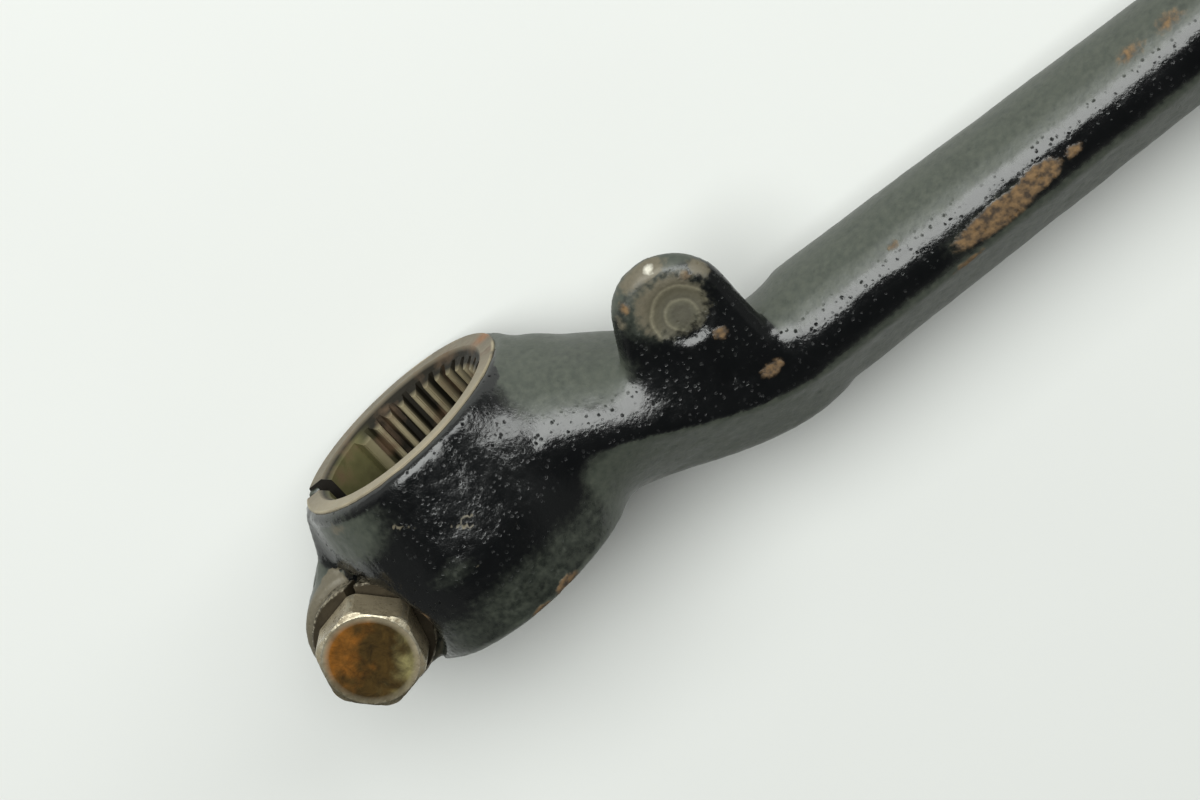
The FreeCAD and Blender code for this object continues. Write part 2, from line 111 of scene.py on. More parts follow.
# The machined bore and rim are a piece of their own, so the forging is cut back behind them
OVERRUN = 2.0 * MM
SEAT_STEPS = 128
seat = new_piece("liner_seat", turned_mesh("liner_seat", [
    (0.0, HUB_HALF_LENGTH + OVERRUN),
    (HUB_BELLY_RADIUS, HUB_HALF_LENGTH + OVERRUN),
    (HUB_BELLY_RADIUS, HUB_HALF_LENGTH - FACING_DEPTH),
    (LINER_SEAT_RADIUS, HUB_HALF_LENGTH - FACING_DEPTH),
    (LINER_SEAT_RADIUS, FACING_DEPTH - HUB_HALF_LENGTH),
    (OUTBOARD_FACING_RADIUS, FACING_DEPTH - HUB_HALF_LENGTH),
    (OUTBOARD_FACING_RADIUS, -HUB_HALF_LENGTH - OVERRUN),
    (0.0, -HUB_HALF_LENGTH - OVERRUN),
], SEAT_STEPS))
cut = forging.modifiers.new("seat", "BOOLEAN")
cut.operation = "DIFFERENCE"
cut.solver = "EXACT"
cut.object = seat
skin = forging.modifiers.new("skin", "REMESH")
skin.mode = "VOXEL"
skin.voxel_size = SKIN_GRID


def as_plain_mesh(piece):
    """Replaces a piece's mesh by its evaluated one and takes its modifiers away."""
    bpy.context.view_layer.update()
    mesh = bpy.data.meshes.new_from_object(piece.evaluated_get(bpy.context.evaluated_depsgraph_get()))
    piece.modifiers.clear()
    piece.data = mesh
    return mesh


lever_mesh = as_plain_mesh(forging)
bpy.data.objects.remove(seat)


def points_of(mesh):
    flat = np.empty(len(mesh.vertices) * 3)
    mesh.vertices.foreach_get("co", flat)
    return flat.reshape(-1, 3)


def normals_of(mesh):
    flat = np.empty(len(mesh.vertices) * 3)
    mesh.vertex_normals.foreach_get("vector", flat)
    return flat.reshape(-1, 3)


def set_points(mesh, points):
    mesh.vertices.foreach_set("co", points.ravel())
    mesh.update()


def edge_pairs(mesh):
    flat = np.empty(len(mesh.edges) * 2, dtype=int)
    mesh.edges.foreach_get("vertices", flat)
    return flat.reshape(-1, 2)


def pull(points, pairs):
    """How far each point lies from the middle of its neighbours."""
    total = np.zeros_like(points)
    count = np.bincount(pairs.ravel(), minlength=len(points))
    for axis in range(3):
        total[:, axis] = np.bincount(pairs[:, 0], points[pairs[:, 1], axis], len(points))
        total[:, axis] += np.bincount(pairs[:, 1], points[pairs[:, 0], axis], len(points))
    return total / count[:, None] - points


def near(points, centre, reach):
    """1 at a centre, falling smoothly to 0 at the reach; reach is one length or one per axis."""
    away = np.linalg.norm((points - np.array(centre)) / np.array(reach), axis=1)
    return np.clip(1.0 - away, 0.0, 1.0) ** 2 * (1.0 + 2.0 * np.clip(away, 0.0, 1.0))


# Inside corners fill up as a forging die leaves them, but not the machined slot, seat, dimple and tread
FILL_ROUNDS = 220
BLEND_ROUNDS = 760
FILL_STEP = 0.5
SOFT_ROUNDS = 3
SOFT_STEP = 0.5
LAST_SOFT_STEP = 0.25
ROUNDS_PER_NORMAL = 20
SPOT_MARGIN = 0.5 * MM
SPOT_WALL = 1.0 * MM
SLOT_MARGIN = 0.3 * MM
SLOT_END = -8.0 * MM
BOLT_HOLE_REACH = 5.0 * MM
DIMPLE_MARGIN = 1.0 * MM
TREAD_MARGIN = 2.0 * MM
SEAT_MARGIN = 0.6 * MM
RIM_MARGIN = 0.8 * MM
NECK_ROOT = (20.0 * MM, 2.0 * MM, 8.0 * MM)
NECK_ROOT_REACH = (17.0 * MM, 24.0 * MM, 20.0 * MM)
NECK_ROOT_FALL = 0.3
LUG_START = 27.0 * MM
LUG_FOOT = -2.0 * MM
points = points_of(lever_mesh)
pairs = edge_pairs(lever_mesh)
from_bolt = np.hypot(points[:, 0] - BOLT_AXIS.x, points[:, 1] - BOLT_AXIS.y)
fill = np.ones(len(points))
fill[(from_bolt < SPOT_RADIUS + SPOT_MARGIN) & (points[:, 2] > SPOT_HEIGHT - SPOT_WALL)] = 0.0
fill[(np.abs(points[:, 2]) < 0.5 * SLOT_WIDTH + SLOT_MARGIN) & (points[:, 0] < SLOT_END)] = 0.0
fill[from_bolt < BOLT_HOLE_REACH] = 0.0
fill[np.linalg.norm(points - np.array(DIMPLE), axis=1) < DIMPLE_RADIUS + DIMPLE_MARGIN] = 0.0
fill[points[:, 0] > PAD_START + TREAD_MARGIN] = 0.0
fill[np.hypot(points[:, 0], points[:, 2]) < LINER_SEAT_RADIUS + SEAT_MARGIN] = 0.0
blend = fill * near(points, NECK_ROOT, NECK_ROOT_REACH) ** NECK_ROOT_FALL
blend[(points[:, 0] > LUG_START) & (points[:, 1] > LUG_FOOT)] = 0.0
blend[points[:, 1] > HUB_HALF_LENGTH - RIM_MARGIN] = 0.0
for turn in range(SOFT_ROUNDS):
    points += SOFT_STEP * pull(points, pairs)

# The neck leaves the rim without a dip, so a low shoulder stands there
SHOULDER = (16.5 * MM, 10.0 * MM, -2.5 * MM)
SHOULDER_REACH = (6.5 * MM, 6.0 * MM, 9.0 * MM)
SHOULDER_RISE = np.array((0.68, 0.4, -0.4)) * MM
SHOULDER_START = 14.2 * MM
SHOULDER_FADE = 1.5 * MM
outside = np.clip((np.hypot(points[:, 0], points[:, 2]) - SHOULDER_START) / SHOULDER_FADE, 0.0, 1.0)
risen = points + (near(points, SHOULDER, SHOULDER_REACH) * outside)[:, None] * SHOULDER_RISE
risen[:, 1] = np.maximum(points[:, 1], np.minimum(risen[:, 1], HUB_HALF_LENGTH - FACING_DEPTH))
points = risen
for turn in range(FILL_ROUNDS + BLEND_ROUNDS):
    if turn % ROUNDS_PER_NORMAL == 0:
        set_points(lever_mesh, points)
        outward = normals_of(lever_mesh)
    here = fill if turn < FILL_ROUNDS else blend
    rise = np.clip(np.sum(pull(points, pairs) * outward, axis=1), 0.0, None) * here
    points += FILL_STEP * rise[:, None] * outward
for turn in range(SOFT_ROUNDS):
    points += LAST_SOFT_STEP * pull(points, pairs) * fill[:, None]

# Wear, as soft patches (centre and reach in millimetres, strength): rust, rubbed bare metal, and a thin
# grey film of dust over the enamel. Scratches run from one point to another.
RUST = [
    ((72.6, -10.5, 7.4), (9.6, 2.5, 3.0), 1.5),
    ((78.6, -9.9, 7.3), (4.6, 2.2, 3.0), 1.4),
    ((83.7, -9.9, 7.2), (2.4, 1.3, 2.0), 0.75),
    ((95.5, -5.4, 5.4), (4.6, 2.4, 3.0), 0.55),
    ((101.0, -5.3, 5.2), (4.6, 2.4, 3.0), 0.6),
    ((60.6, -5.9, 6.6), (1.9, 1.4, 2.0), 0.6),
    ((66.0, -12.9, 6.6), (6.0, 0.9, 1.6), 0.66),
    ((54.0, -13.0, 6.4), (6.0, 0.8, 1.6), 0.6),
    ((40.6, -8.4, 8.0), (3.4, 1.8, 2.0), 0.85),
    ((38.9, -1.0, 8.2), (1.8, 1.6, 2.0), 0.7),
    ((40.2, 7.0, 8.2), (2.0, 1.5, 2.0), 0.7),
    ((32.4, 8.4, 7.6), (1.6, 2.0, 2.0), 0.65),
    ((6.7, -11.6, 15.0), (4.0, 1.5, 2.6), 0.95),
    ((2.6, -11.9, 15.9), (3.0, 1.2, 2.4), 0.75),
    ((-9.6, -4.4, 14.4), (2.0, 3.0, 3.0), 0.6),
]
BARE = [
    ((-9.5, 10.0, 11.0), (7.0, 3.0, 5.0), 0.6),
    ((36.6, 10.0, 7.2), (7.6, 3.4, 3.0), 0.85),
    ((31.0, 7.0, 7.2), (2.2, 3.4, 2.4), 0.7),
    ((42.0, 6.6, 7.4), (2.4, 3.6, 2.4), 0.8),
    ((36.9, 5.2, 8.0), (8.6, 8.0, 3.0), 0.95),
    ((37.5, 10.2, 7.4), (2.4, 1.8, 2.2), 1.75),
    ((37.6, 9.7, 7.9), (2.4, 0.8, 1.0), 1.5),
]
FILM = [
    ((25.4, 3.2, 6.2), (6.0, 6.4, 7.0), 1.0),
    ((-2.2, -1.2, 17.4), (6.0, 3.0, 3.0), 0.45),
    ((36.0, 7.0, 8.0), (11.0, 9.0, 5.0), 0.8),
    ((-9.5, 9.0, 11.5), (13.0, 7.0, 9.0), 1.3),
    ((75.0, -3.0, 2.0), (60.0, 8.0, 9.0), 0.8),
    ((150.0, -3.0, 0.0), (80.0, 8.0, 12.0), 0.7),
    ((3.0, 12.0, 6.0), (22.0, 2.2, 24.0), 0.7),
    ((10.0, 9.0, -4.0), (14.0, 8.0, 12.0), 0.7),
    ((73.0, -10.2, 7.4), (14.0, 3.2, 4.0), 0.7),
    ((5.0, -12.2, 13.0), (11.0, 2.4, 8.0), 0.7),
    ((215.0, -10.0, -8.8), (24.0, 30.0, 3.0), 0.9),
]
SCRATCHES = [
    ((-3.8, 7.3, 15.9), (3.6, 1.8, 16.9), 0.9),
    ((-1.0, 5.6, 16.3), (5.4, 2.2, 16.6), 0.7),
    ((0.6, -2.4, 17.6), (8.4, -1.4, 15.8), 0.55),
]
SCRATCH_WIDTH = 0.5 * MM
SPOT_FACE_WEAR = 0.46
SPOT_FACE_EDGE = 0.3 * MM
SPOT_FACE_DEPTH = 0.8 * MM
LIP_WEAR = 0.85
LIP_FROM = 7.2 * MM
LIP_TO = 9.0 * MM
LIP_DEPTH = 1.5 * MM
LIP_END = BOLT_AXIS.x + 2.0 * MM


def patches(points, spots):
    mask = np.zeros(len(points))
    for centre, reach, strength in spots:
        mask = np.maximum(mask, strength * near(points, np.array(centre) * MM, np.array(reach) * MM))
    return mask


def along_line(points, start, end, width):
    """1 on a straight line between two points, falling to 0 at the width."""
    start = np.array(start) * MM
    run = np.array(end) * MM - start
    share = np.clip((points - start) @ run / (run @ run), 0.0, 1.0)
    return near(points - share[:, None] * run, start, width)


rust = patches(points, RUST)
bare = patches(points, BARE)
film = patches(points, FILM)
for start, end, strength in SCRATCHES:
    bare = np.maximum(bare, strength * along_line(points, start, end, SCRATCH_WIDTH))
from_spot_face = np.abs(points[:, 2] - SPOT_HEIGHT)
bare[(from_bolt < SPOT_RADIUS + SPOT_FACE_EDGE) & (from_spot_face < SPOT_FACE_DEPTH)] = SPOT_FACE_WEAR
on_lip = (from_bolt > LIP_FROM) & (from_bolt < LIP_TO) & (from_spot_face < LIP_DEPTH)
bare[on_lip & (points[:, 0] < LIP_END)] = LIP_WEAR

# Dust and painted reflection: a grey-green film on the two flanks and the hub's lower lobe; the crown has
# none, the rim is rubbed clean
FLANK_DUST_AND_REFLECTION = 0.85
UPPER_FLANK_TILT, UPPER_FLANK_FADE = 0.3, 0.25
LOWER_FLANK_TILT, LOWER_FLANK_FADE = 0.18, 0.22
LOBE_DUST_AND_REFLECTION = 0.62
LOBE_TOP = -3.5 * MM
LOBE_FADE = 4.0 * MM
LOBE_END = 20.0 * MM
RUBBED_BELOW_RIM = 1.6 * MM
RUBBED_END = 15.0 * MM
RUBBED_DUST = 0.4
set_points(lever_mesh, points)
outward = normals_of(lever_mesh)
# The flanks facing either way along the hub's axis, and the lower lobe, are lightened: partly dust, partly a
# painted reflection of the bench and room
upper_flank = np.clip((outward[:, 1] - UPPER_FLANK_TILT) / UPPER_FLANK_FADE, 0.0, 1.0)
lower_flank = np.clip((-outward[:, 1] - LOWER_FLANK_TILT) / LOWER_FLANK_FADE, 0.0, 1.0)
flank = np.maximum(upper_flank, lower_flank)
lobe = np.clip((LOBE_TOP - points[:, 1]) / LOBE_FADE, 0.0, 1.0) * (points[:, 0] < LOBE_END)
by_rim = (points[:, 1] > HUB_HALF_LENGTH - RUBBED_BELOW_RIM) & (points[:, 2] > 0.0)
by_rim &= points[:, 0] < RUBBED_END
flank[by_rim] = 0.0
film[by_rim] *= RUBBED_DUST
film = np.maximum(film, FLANK_DUST_AND_REFLECTION * np.maximum(flank, LOBE_DUST_AND_REFLECTION * lobe))

# The skin: broad hammer lumps, small drips of enamel, and pits where rust has eaten under it. The machined
# faces keep a small share of it.
LUMP_SIZE = 7.0 * MM
LUMP_HEIGHT = 0.09 * MM
DRIP_SIZE = 2.2 * MM
DRIP_HEIGHT = 0.035 * MM
PIT_SIZE = 1.3 * MM
PIT_DEPTH = 0.14 * MM
PIT_START = 0.25
SCAB_DEPTH = 0.10 * MM
SCAB_START = 0.3
DRIP_OFFSET = Vector((7.0, 3.0, 1.0))
PIT_OFFSET = Vector((1.0, 9.0, 4.0))
MACHINED_SHARE = 0.15
shift = np.empty(len(points))
for index, point in enumerate(points):
    place = Vector(point)
    lumps = noise.noise(place / LUMP_SIZE)
    drips = noise.noise(place / DRIP_SIZE + DRIP_OFFSET)
    pits = noise.noise(place / PIT_SIZE + PIT_OFFSET)
    shift[index] = LUMP_HEIGHT * lumps + DRIP_HEIGHT * drips - PIT_DEPTH * max(0.0, pits - PIT_START)
shift -= SCAB_DEPTH * np.clip(rust - SCAB_START, 0.0, 1.0)
points = points + outward * (shift * np.clip(fill + MACHINED_SHARE, 0.0, 1.0))[:, None]
points = np.clip(points, np.array(cad_box[0]), np.array(cad_box[1]))
set_points(lever_mesh, points)
lever_mesh.polygons.foreach_set("use_smooth", [True] * len(lever_mesh.polygons))
for name, mask in (("rust", rust), ("bare", bare), ("film", film)):
    layer = lever_mesh.attributes.new(name, "FLOAT", "POINT")
    layer.data.foreach_set("value", mask)


def linear(code):
    """An sRGB hex colour as linear RGBA."""
    parts = [int(code[i:i + 2], 16) / 255.0 for i in (1, 3, 5)]
    return [c / 12.92 if c <= 0.04045 else ((c + 0.055) / 1.055) ** 2.4 for c in parts] + [1.0]


def add(tree, kind, inputs=None, **settings):
    """Adds one node; an input is a value to set or a socket to link from."""
    made = tree.nodes.new(kind)
    for name, value in settings.items():
        setattr(made, name, value)
    for name, value in (inputs or {}).items():
        if isinstance(value, bpy.types.NodeSocket):
            tree.links.new(value, made.inputs[name])
        else:
            made.inputs[name].default_value = value
    return made


def new_material(name):
    """An empty material with its output and one principled shader."""
    material = bpy.data.materials.new(name)
    material.use_nodes = True
    tree = material.node_tree
    tree.nodes.clear()
    shader = add(tree, "ShaderNodeBsdfPrincipled")
    add(tree, "ShaderNodeOutputMaterial", {"Surface": shader.outputs["BSDF"]})
    return material, tree, shader


def per(size):
    """A texture scale that repeats about once in this length."""
    return 1.0 / size


# Thick brushed black enamel over rusting steel: gloss with a pitted skin, broken by dust and painted
# reflection, rust and bare metal
enamel, tree, shader = new_material("black_enamel_on_forged_steel")
where = add(tree, "ShaderNodeTexCoord").outputs["Object"]
textures = {}
for name, length, detail in (
    ("grain", 0.42, 4.0), ("peel", 1.1, 4.0), ("cloud", 5.0, 5.0), ("rust", 0.8, 6.0),
):
    inputs = {"Vector": where, "Scale": per(length * MM), "Detail": detail}
    textures[name] = add(tree, "ShaderNodeTexNoise", inputs).outputs["Fac"]
grain = textures["grain"]
cloud = textures["cloud"]
peel = textures["peel"]
broken = add(tree, "ShaderNodeMath", {0: cloud, 1: textures["rust"]}, operation="ADD").outputs[0]
ragged_edge = add(tree, "ShaderNodeMath", {0: broken, 1: 0.5, 2: -0.5}, operation="MULTIPLY_ADD").outputs[0]
masks = {}
for name, low, high in (("rust", 0.26, 0.64), ("bare", 0.38, 0.66), ("film", 0.15, 0.95)):
    soft = add(tree, "ShaderNodeAttribute", attribute_name=name).outputs["Fac"]
    ragged = add(tree, "ShaderNodeMath", {0: soft, 1: ragged_edge}, operation="ADD").outputs[0]
    shown = add(tree, "ShaderNodeMapRange", {"Value": ragged, "From Min": low, "From Max": high},
                interpolation_type="SMOOTHSTEP").outputs["Result"]
    present = add(tree, "ShaderNodeMapRange", {"Value": soft, "From Max": 0.15}).outputs["Result"]
    masks[name] = add(tree, "ShaderNodeMath", {0: shown, 1: present}, operation="MULTIPLY").outputs[0]
    if name == "bare":
        polished = add(tree, "ShaderNodeMapRange", {
            "Value": ragged, "From Min": 1.2, "From Max": 1.6,
        }).outputs["Result"]

# Pits: small round holes in the enamel, dense in some places and absent in others
bent = add(tree, "ShaderNodeMath", {0: textures["rust"], 1: 0.7 * MM}, operation="MULTIPLY").outputs[0]
bent = add(tree, "ShaderNodeVectorMath", {0: where, 1: bent}, operation="ADD").outputs["Vector"]
cell = add(tree, "ShaderNodeTexVoronoi", {"Vector": bent, "Scale": per(0.7 * MM)})
chosen = add(tree, "ShaderNodeMapRange", {
    "Value": cell.outputs["Color"], "From Min": 0.4, "From Max": 0.65,
}).outputs["Result"]
pit = add(tree, "ShaderNodeMapRange", {
    "Value": cell.outputs["Distance"], "From Min": 0.14, "From Max": 0.42, "To Min": 1.0, "To Max": 0.0,
}, interpolation_type="SMOOTHSTEP").outputs["Result"]
chipped = add(tree, "ShaderNodeMapRange", {
    "Value": grain, "From Min": 0.34, "From Max": 0.5,
}).outputs["Result"]
pit = add(tree, "ShaderNodeMath", {0: pit, 1: chipped}, operation="MULTIPLY").outputs[0]
pit = add(tree, "ShaderNodeMath", {0: pit, 1: chosen}, operation="MULTIPLY").outputs[0]
pitted = add(tree, "ShaderNodeMapRange", {
    "Value": cloud, "From Min": 0.32, "From Max": 0.48,
}).outputs["Result"]
clear = add(tree, "ShaderNodeMapRange", {
    "Value": masks["film"], "To Min": 1.0, "To Max": 0.1,
}).outputs["Result"]
pits = add(tree, "ShaderNodeMath", {0: pit, 1: pitted}, operation="MULTIPLY").outputs[0]
pits = add(tree, "ShaderNodeMath", {0: pits, 1: clear}, operation="MULTIPLY").outputs[0]

black = add(tree, "ShaderNodeMix", {"Factor": cloud, "A": linear("#060708"), "B": linear("#101112")},
            data_type="RGBA").outputs["Result"]
# Grey-green of the film: dust, and on the flanks a painted reflection of the pale bench
dust_and_reflection_tone = add(tree, "ShaderNodeMix", {
    "Factor": textures["rust"], "A": linear("#2a322b"), "B": linear("#4c4f45"),
}, data_type="RGBA").outputs["Result"]
dusted = add(tree, "ShaderNodeMix", {"Factor": masks["film"], "A": black, "B": dust_and_reflection_tone},
            data_type="RGBA").outputs["Result"]
rust_tone = add(tree, "ShaderNodeValToRGB", {"Fac": textures["rust"]})
rust_tone.color_ramp.elements[0].position = 0.34
rust_tone.color_ramp.elements[0].color = linear("#33271a")
rust_tone.color_ramp.elements[1].position = 0.66
rust_tone.color_ramp.elements[1].color = linear("#745a3a")
rusted = add(tree, "ShaderNodeMix", {"Factor": masks["rust"], "A": dusted, "B": rust_tone.outputs["Color"]},
             data_type="RGBA").outputs["Result"]

# Bare metal: dirty olive steel, with rings where the stop screw has turned in the dimple, bright where it is
# rubbed
from_dimple = add(tree, "ShaderNodeVectorMath", {
    0: where, 1: tuple(DIMPLE),
}, operation="DISTANCE").outputs["Value"]
wobble = add(tree, "ShaderNodeMath", {
    0: cloud, 1: 1.2 * MM, 2: from_dimple,
}, operation="MULTIPLY_ADD").outputs[0]
ring_place = add(tree, "ShaderNodeMapRange", {"Value": wobble, "From Max": 5.4 * MM}).outputs["Result"]
rings = add(tree, "ShaderNodeValToRGB", {"Fac": ring_place})
rings.color_ramp.elements[0].color = linear("#5c5a4c")
rings.color_ramp.elements[1].color = linear("#6b6453")
for place, code in (
    (0.3, "#4f4d41"), (0.42, "#5f5d4d"), (0.48, "#7b7764"), (0.54, "#565345"), (0.72, "#625e4d"),
    (0.8, "#8b8570"), (0.86, "#625d4d"),
):
    rings.color_ramp.elements.new(place).color = linear(code)
speckled = add(tree, "ShaderNodeMix", {
    "Factor": grain, "A": linear("#3d372c"), "B": rings.outputs["Color"],
}, data_type="RGBA").outputs["Result"]
dirty_steel = add(tree, "ShaderNodeMix", {"Factor": 0.6, "A": rings.outputs["Color"], "B": speckled},
                  data_type="RGBA").outputs["Result"]
steel_tone = add(tree, "ShaderNodeMix", {"Factor": polished, "A": dirty_steel, "B": linear("#d9d5c8")},
                 data_type="RGBA").outputs["Result"]
colour = add(tree, "ShaderNodeMix", {"Factor": masks["bare"], "A": rusted, "B": steel_tone},
             data_type="RGBA").outputs["Result"]

gloss = add(tree, "ShaderNodeMapRange", {"Value": peel, "To Min": 0.06, "To Max": 0.26}).outputs["Result"]
dull = add(tree, "ShaderNodeMath", {
    0: masks["film"], 1: 0.32, 2: gloss,
}, operation="MULTIPLY_ADD").outputs[0]
rough = add(tree, "ShaderNodeMix", {"Factor": pits, "A": dull, "B": 0.8}).outputs["Result"]
rough = add(tree, "ShaderNodeMix", {"Factor": masks["rust"], "A": rough, "B": 0.85}).outputs["Result"]
rough = add(tree, "ShaderNodeMix", {"Factor": masks["bare"], "A": rough, "B": 0.5}).outputs["Result"]
shine = add(tree, "ShaderNodeMath", {0: polished, 1: 0.7, 2: 0.15}, operation="MULTIPLY_ADD").outputs[0]
metal = add(tree, "ShaderNodeMath", {0: masks["bare"], 1: shine}, operation="MULTIPLY").outputs[0]
peeled = add(tree, "ShaderNodeMath", {0: peel, 1: 0.45}, operation="MULTIPLY").outputs[0]
relief = add(tree, "ShaderNodeMath", {0: pits, 1: -0.4, 2: peeled}, operation="MULTIPLY_ADD").outputs[0]
coarse = add(tree, "ShaderNodeMath", {0: pitted, 1: 0.16, 2: 0.1}, operation="MULTIPLY_ADD").outputs[0]
relief = add(tree, "ShaderNodeMath", {0: grain, 1: coarse, 2: relief}, operation="MULTIPLY_ADD").outputs[0]
crust = add(tree, "ShaderNodeMath", {
    0: masks["rust"], 1: textures["rust"],
}, operation="MULTIPLY").outputs[0]
relief = add(tree, "ShaderNodeMath", {0: crust, 1: 1.2, 2: relief}, operation="MULTIPLY_ADD").outputs[0]
bump = add(tree, "ShaderNodeBump", {
    "Height": relief, "Strength": 0.75, "Distance": 0.13 * MM,
}).outputs["Normal"]
mirror = add(tree, "ShaderNodeMapRange", {"Value": pits, "To Min": 0.65, "To Max": 0.08}).outputs["Result"]
tree.links.new(mirror, shader.inputs["Specular IOR Level"])
for socket, source in (("Base Color", colour), ("Roughness", rough), ("Metallic", metal), ("Normal", bump)):
    tree.links.new(source, shader.inputs[socket])
lever_mesh.materials.clear()
lever_mesh.materials.append(enamel)
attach(forging, "root")
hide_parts("pedal_lever")

# Machined bore and rim
# The forging is bored, faced and broached here: bare steel teeth that grip the shaft, a plain stretch beside
# the slot that lets the hub close, bevelled mouths, and the flat rim. Shaft grease and rust have stained it
# olive and brown.
TOOTH_TIP_RADIUS = 10.5 * MM
TOOTH_ROOT_RADIUS = 12.0 * MM
TOOTH_COUNT = 34
TOOTH_SPACE_AT_TIP = 1.35 * MM
TOOTH_SPACE_AT_ROOT = 0.5 * MM
SIDE_SPACES = 12
RELIEF_HALF_ANGLE = math.radians(42.0)
MOUTH_BEVEL = 0.9 * MM
RIM_RADIUS = 14.9 * MM
RIM_SHIFT = -0.4 * MM
LINER_OVERLAP = 0.3 * MM
SINK = 0.25 * MM
TOOTH_END = 0.75 * MM
TOOTH_END_SLOPE = 0.55
TOOTH_EDGE = 0.12 * MM
RIM_EDGE = 0.12 * MM
LIP_LAP = 0.15 * MM
BACK_EDGE = 0.2 * MM
BACK_EDGE_HEIGHT = 0.1 * MM
LINER_STEPS = 160
RUST_SPOT = (13.0 * MM, 12.2 * MM, -6.3 * MM)
RUST_SPOT_REACH = 2.6 * MM


def slit_ring(made, radius, place):
    """One ring of points about Y that stops at the slot's faces; the rim's bare edge sits a little low."""
    shift = RIM_SHIFT if radius > LINER_SEAT_RADIUS + LINER_OVERLAP and place > 0.0 else 0.0
    stop = math.pi - math.asin(0.5 * SLOT_WIDTH / radius)
    ring = []
    for step in range(LINER_STEPS + 1):
        turn = stop * (2.0 * step / LINER_STEPS - 1.0)
        lowered = shift * math.cos(0.5 * turn) ** 2
        ring.append(made.verts.new((radius * math.cos(turn), place, radius * math.sin(turn) + lowered)))
    return ring


liner_profile = [
    (TOOTH_ROOT_RADIUS, HUB_HALF_LENGTH - MOUTH_BEVEL),
    (TOOTH_ROOT_RADIUS + MOUTH_BEVEL, HUB_HALF_LENGTH),
    (RIM_RADIUS - RIM_EDGE, HUB_HALF_LENGTH),
    (RIM_RADIUS, HUB_HALF_LENGTH - RIM_EDGE),
    (RIM_RADIUS, HUB_HALF_LENGTH - FACING_DEPTH - LIP_LAP),
    (LINER_SEAT_RADIUS + LINER_OVERLAP, HUB_HALF_LENGTH - FACING_DEPTH - LIP_LAP),
    (LINER_SEAT_RADIUS + LINER_OVERLAP, FACING_DEPTH + LIP_LAP - HUB_HALF_LENGTH),
    (OUTBOARD_FACING_RADIUS + BACK_EDGE, FACING_DEPTH + LIP_LAP - HUB_HALF_LENGTH),
    (OUTBOARD_FACING_RADIUS + BACK_EDGE, BACK_EDGE_HEIGHT - HUB_HALF_LENGTH),
    (OUTBOARD_FACING_RADIUS, -HUB_HALF_LENGTH),
    (TOOTH_ROOT_RADIUS + MOUTH_BEVEL, -HUB_HALF_LENGTH),
    (TOOTH_ROOT_RADIUS, MOUTH_BEVEL - HUB_HALF_LENGTH),
]
made = bmesh.new()
rings = [slit_ring(made, radius, place) for radius, place in liner_profile]
for first, second in zip(rings, rings[1:] + rings[:1]):
    for step in range(LINER_STEPS):
        made.faces.new((first[step], first[step + 1], second[step + 1], second[step]))
for end in (0, LINER_STEPS):
    made.faces.new([ring[end] for ring in rings])
bmesh.ops.recalc_face_normals(made, faces=made.faces)
liner_mesh = bpy.data.meshes.new("bore_liner")
made.to_mesh(liner_mesh)
made.free()
liner = new_piece("machined_bore", liner_mesh)

# The bolt's spot face is cut into the back of the bore, and leaves a thin wall beside the plain stretch
SPOT_STAND_OFF = 0.15 * MM
SPOT_STEPS = 96
cutter_radius = SPOT_RADIUS - SPOT_STAND_OFF
cutter = new_piece("spot_cutter", turned_mesh("spot_cutter", [
    (0.0, 0.0), (cutter_radius, 0.0), (cutter_radius, HUB_BELLY_RADIUS), (0.0, HUB_BELLY_RADIUS),
], SPOT_STEPS))
on_spot_face = Matrix.Translation((BOLT_AXIS.x, BOLT_AXIS.y, SPOT_HEIGHT))
cutter.matrix_world = on_spot_face @ Matrix.Rotation(math.radians(90.0), 4, "X")
cut = liner.modifiers.new("spot_face", "BOOLEAN")
cut.operation = "DIFFERENCE"
cut.solver = "EXACT"
cut.object = cutter
as_plain_mesh(liner)
bpy.data.objects.remove(cutter)

# One tooth: a rib along the bore whose ends are bevelled with the mouth
pitch = 2.0 * math.pi / TOOTH_COUNT


def tooth_mesh(name, tip_from, tip_to, root_from, root_to):
    """A rib between two bearings at the tips and at the roots, sunk a little into the liner."""
    made = bmesh.new()
    sunk = TOOTH_ROOT_RADIUS + SINK
    ends = []
    for side in (-1.0, 1.0):
        row = []
        for radius, bearing in (
            (TOOTH_TIP_RADIUS, tip_from), (TOOTH_TIP_RADIUS, tip_to), (sunk, root_to), (sunk, root_from),
        ):
            place = side * (HUB_HALF_LENGTH - TOOTH_END - TOOTH_END_SLOPE * (sunk - radius))
            row.append(made.verts.new((radius * math.cos(bearing), place, radius * math.sin(bearing))))
        ends.append(row)
    for corner in range(4):
        after = (corner + 1) % 4
        made.faces.new((ends[0][corner], ends[0][after], ends[1][after], ends[1][corner]))
    made.faces.new(ends[0])
    made.faces.new(ends[1])
    bmesh.ops.recalc_face_normals(made, faces=made.faces)
    edges = [edge for edge in made.edges if edge.calc_length() > HUB_HALF_LENGTH]
    bmesh.ops.bevel(made, geom=edges, offset=TOOTH_EDGE, segments=2, affect="EDGES")
    mesh = bpy.data.meshes.new(name)
    made.to_mesh(mesh)
    made.free()
    return mesh


half_tip = 0.5 * TOOTH_SPACE_AT_TIP / TOOTH_TIP_RADIUS
half_root = 0.5 * TOOTH_SPACE_AT_ROOT / TOOTH_ROOT_RADIUS
tooth = new_piece("tooth", tooth_mesh("tooth", half_tip, pitch - half_tip, half_root, pitch - half_root))
last_space = SIDE_SPACES * pitch
end_of_teeth = math.pi - RELIEF_HALF_ANGLE
end_teeth = [
    new_piece("end_tooth", tooth_mesh("end_tooth", side * (last_space + half_tip), side * end_of_teeth,
                                      side * (last_space + half_root), side * end_of_teeth))
    for side in (-1.0, 1.0)
]

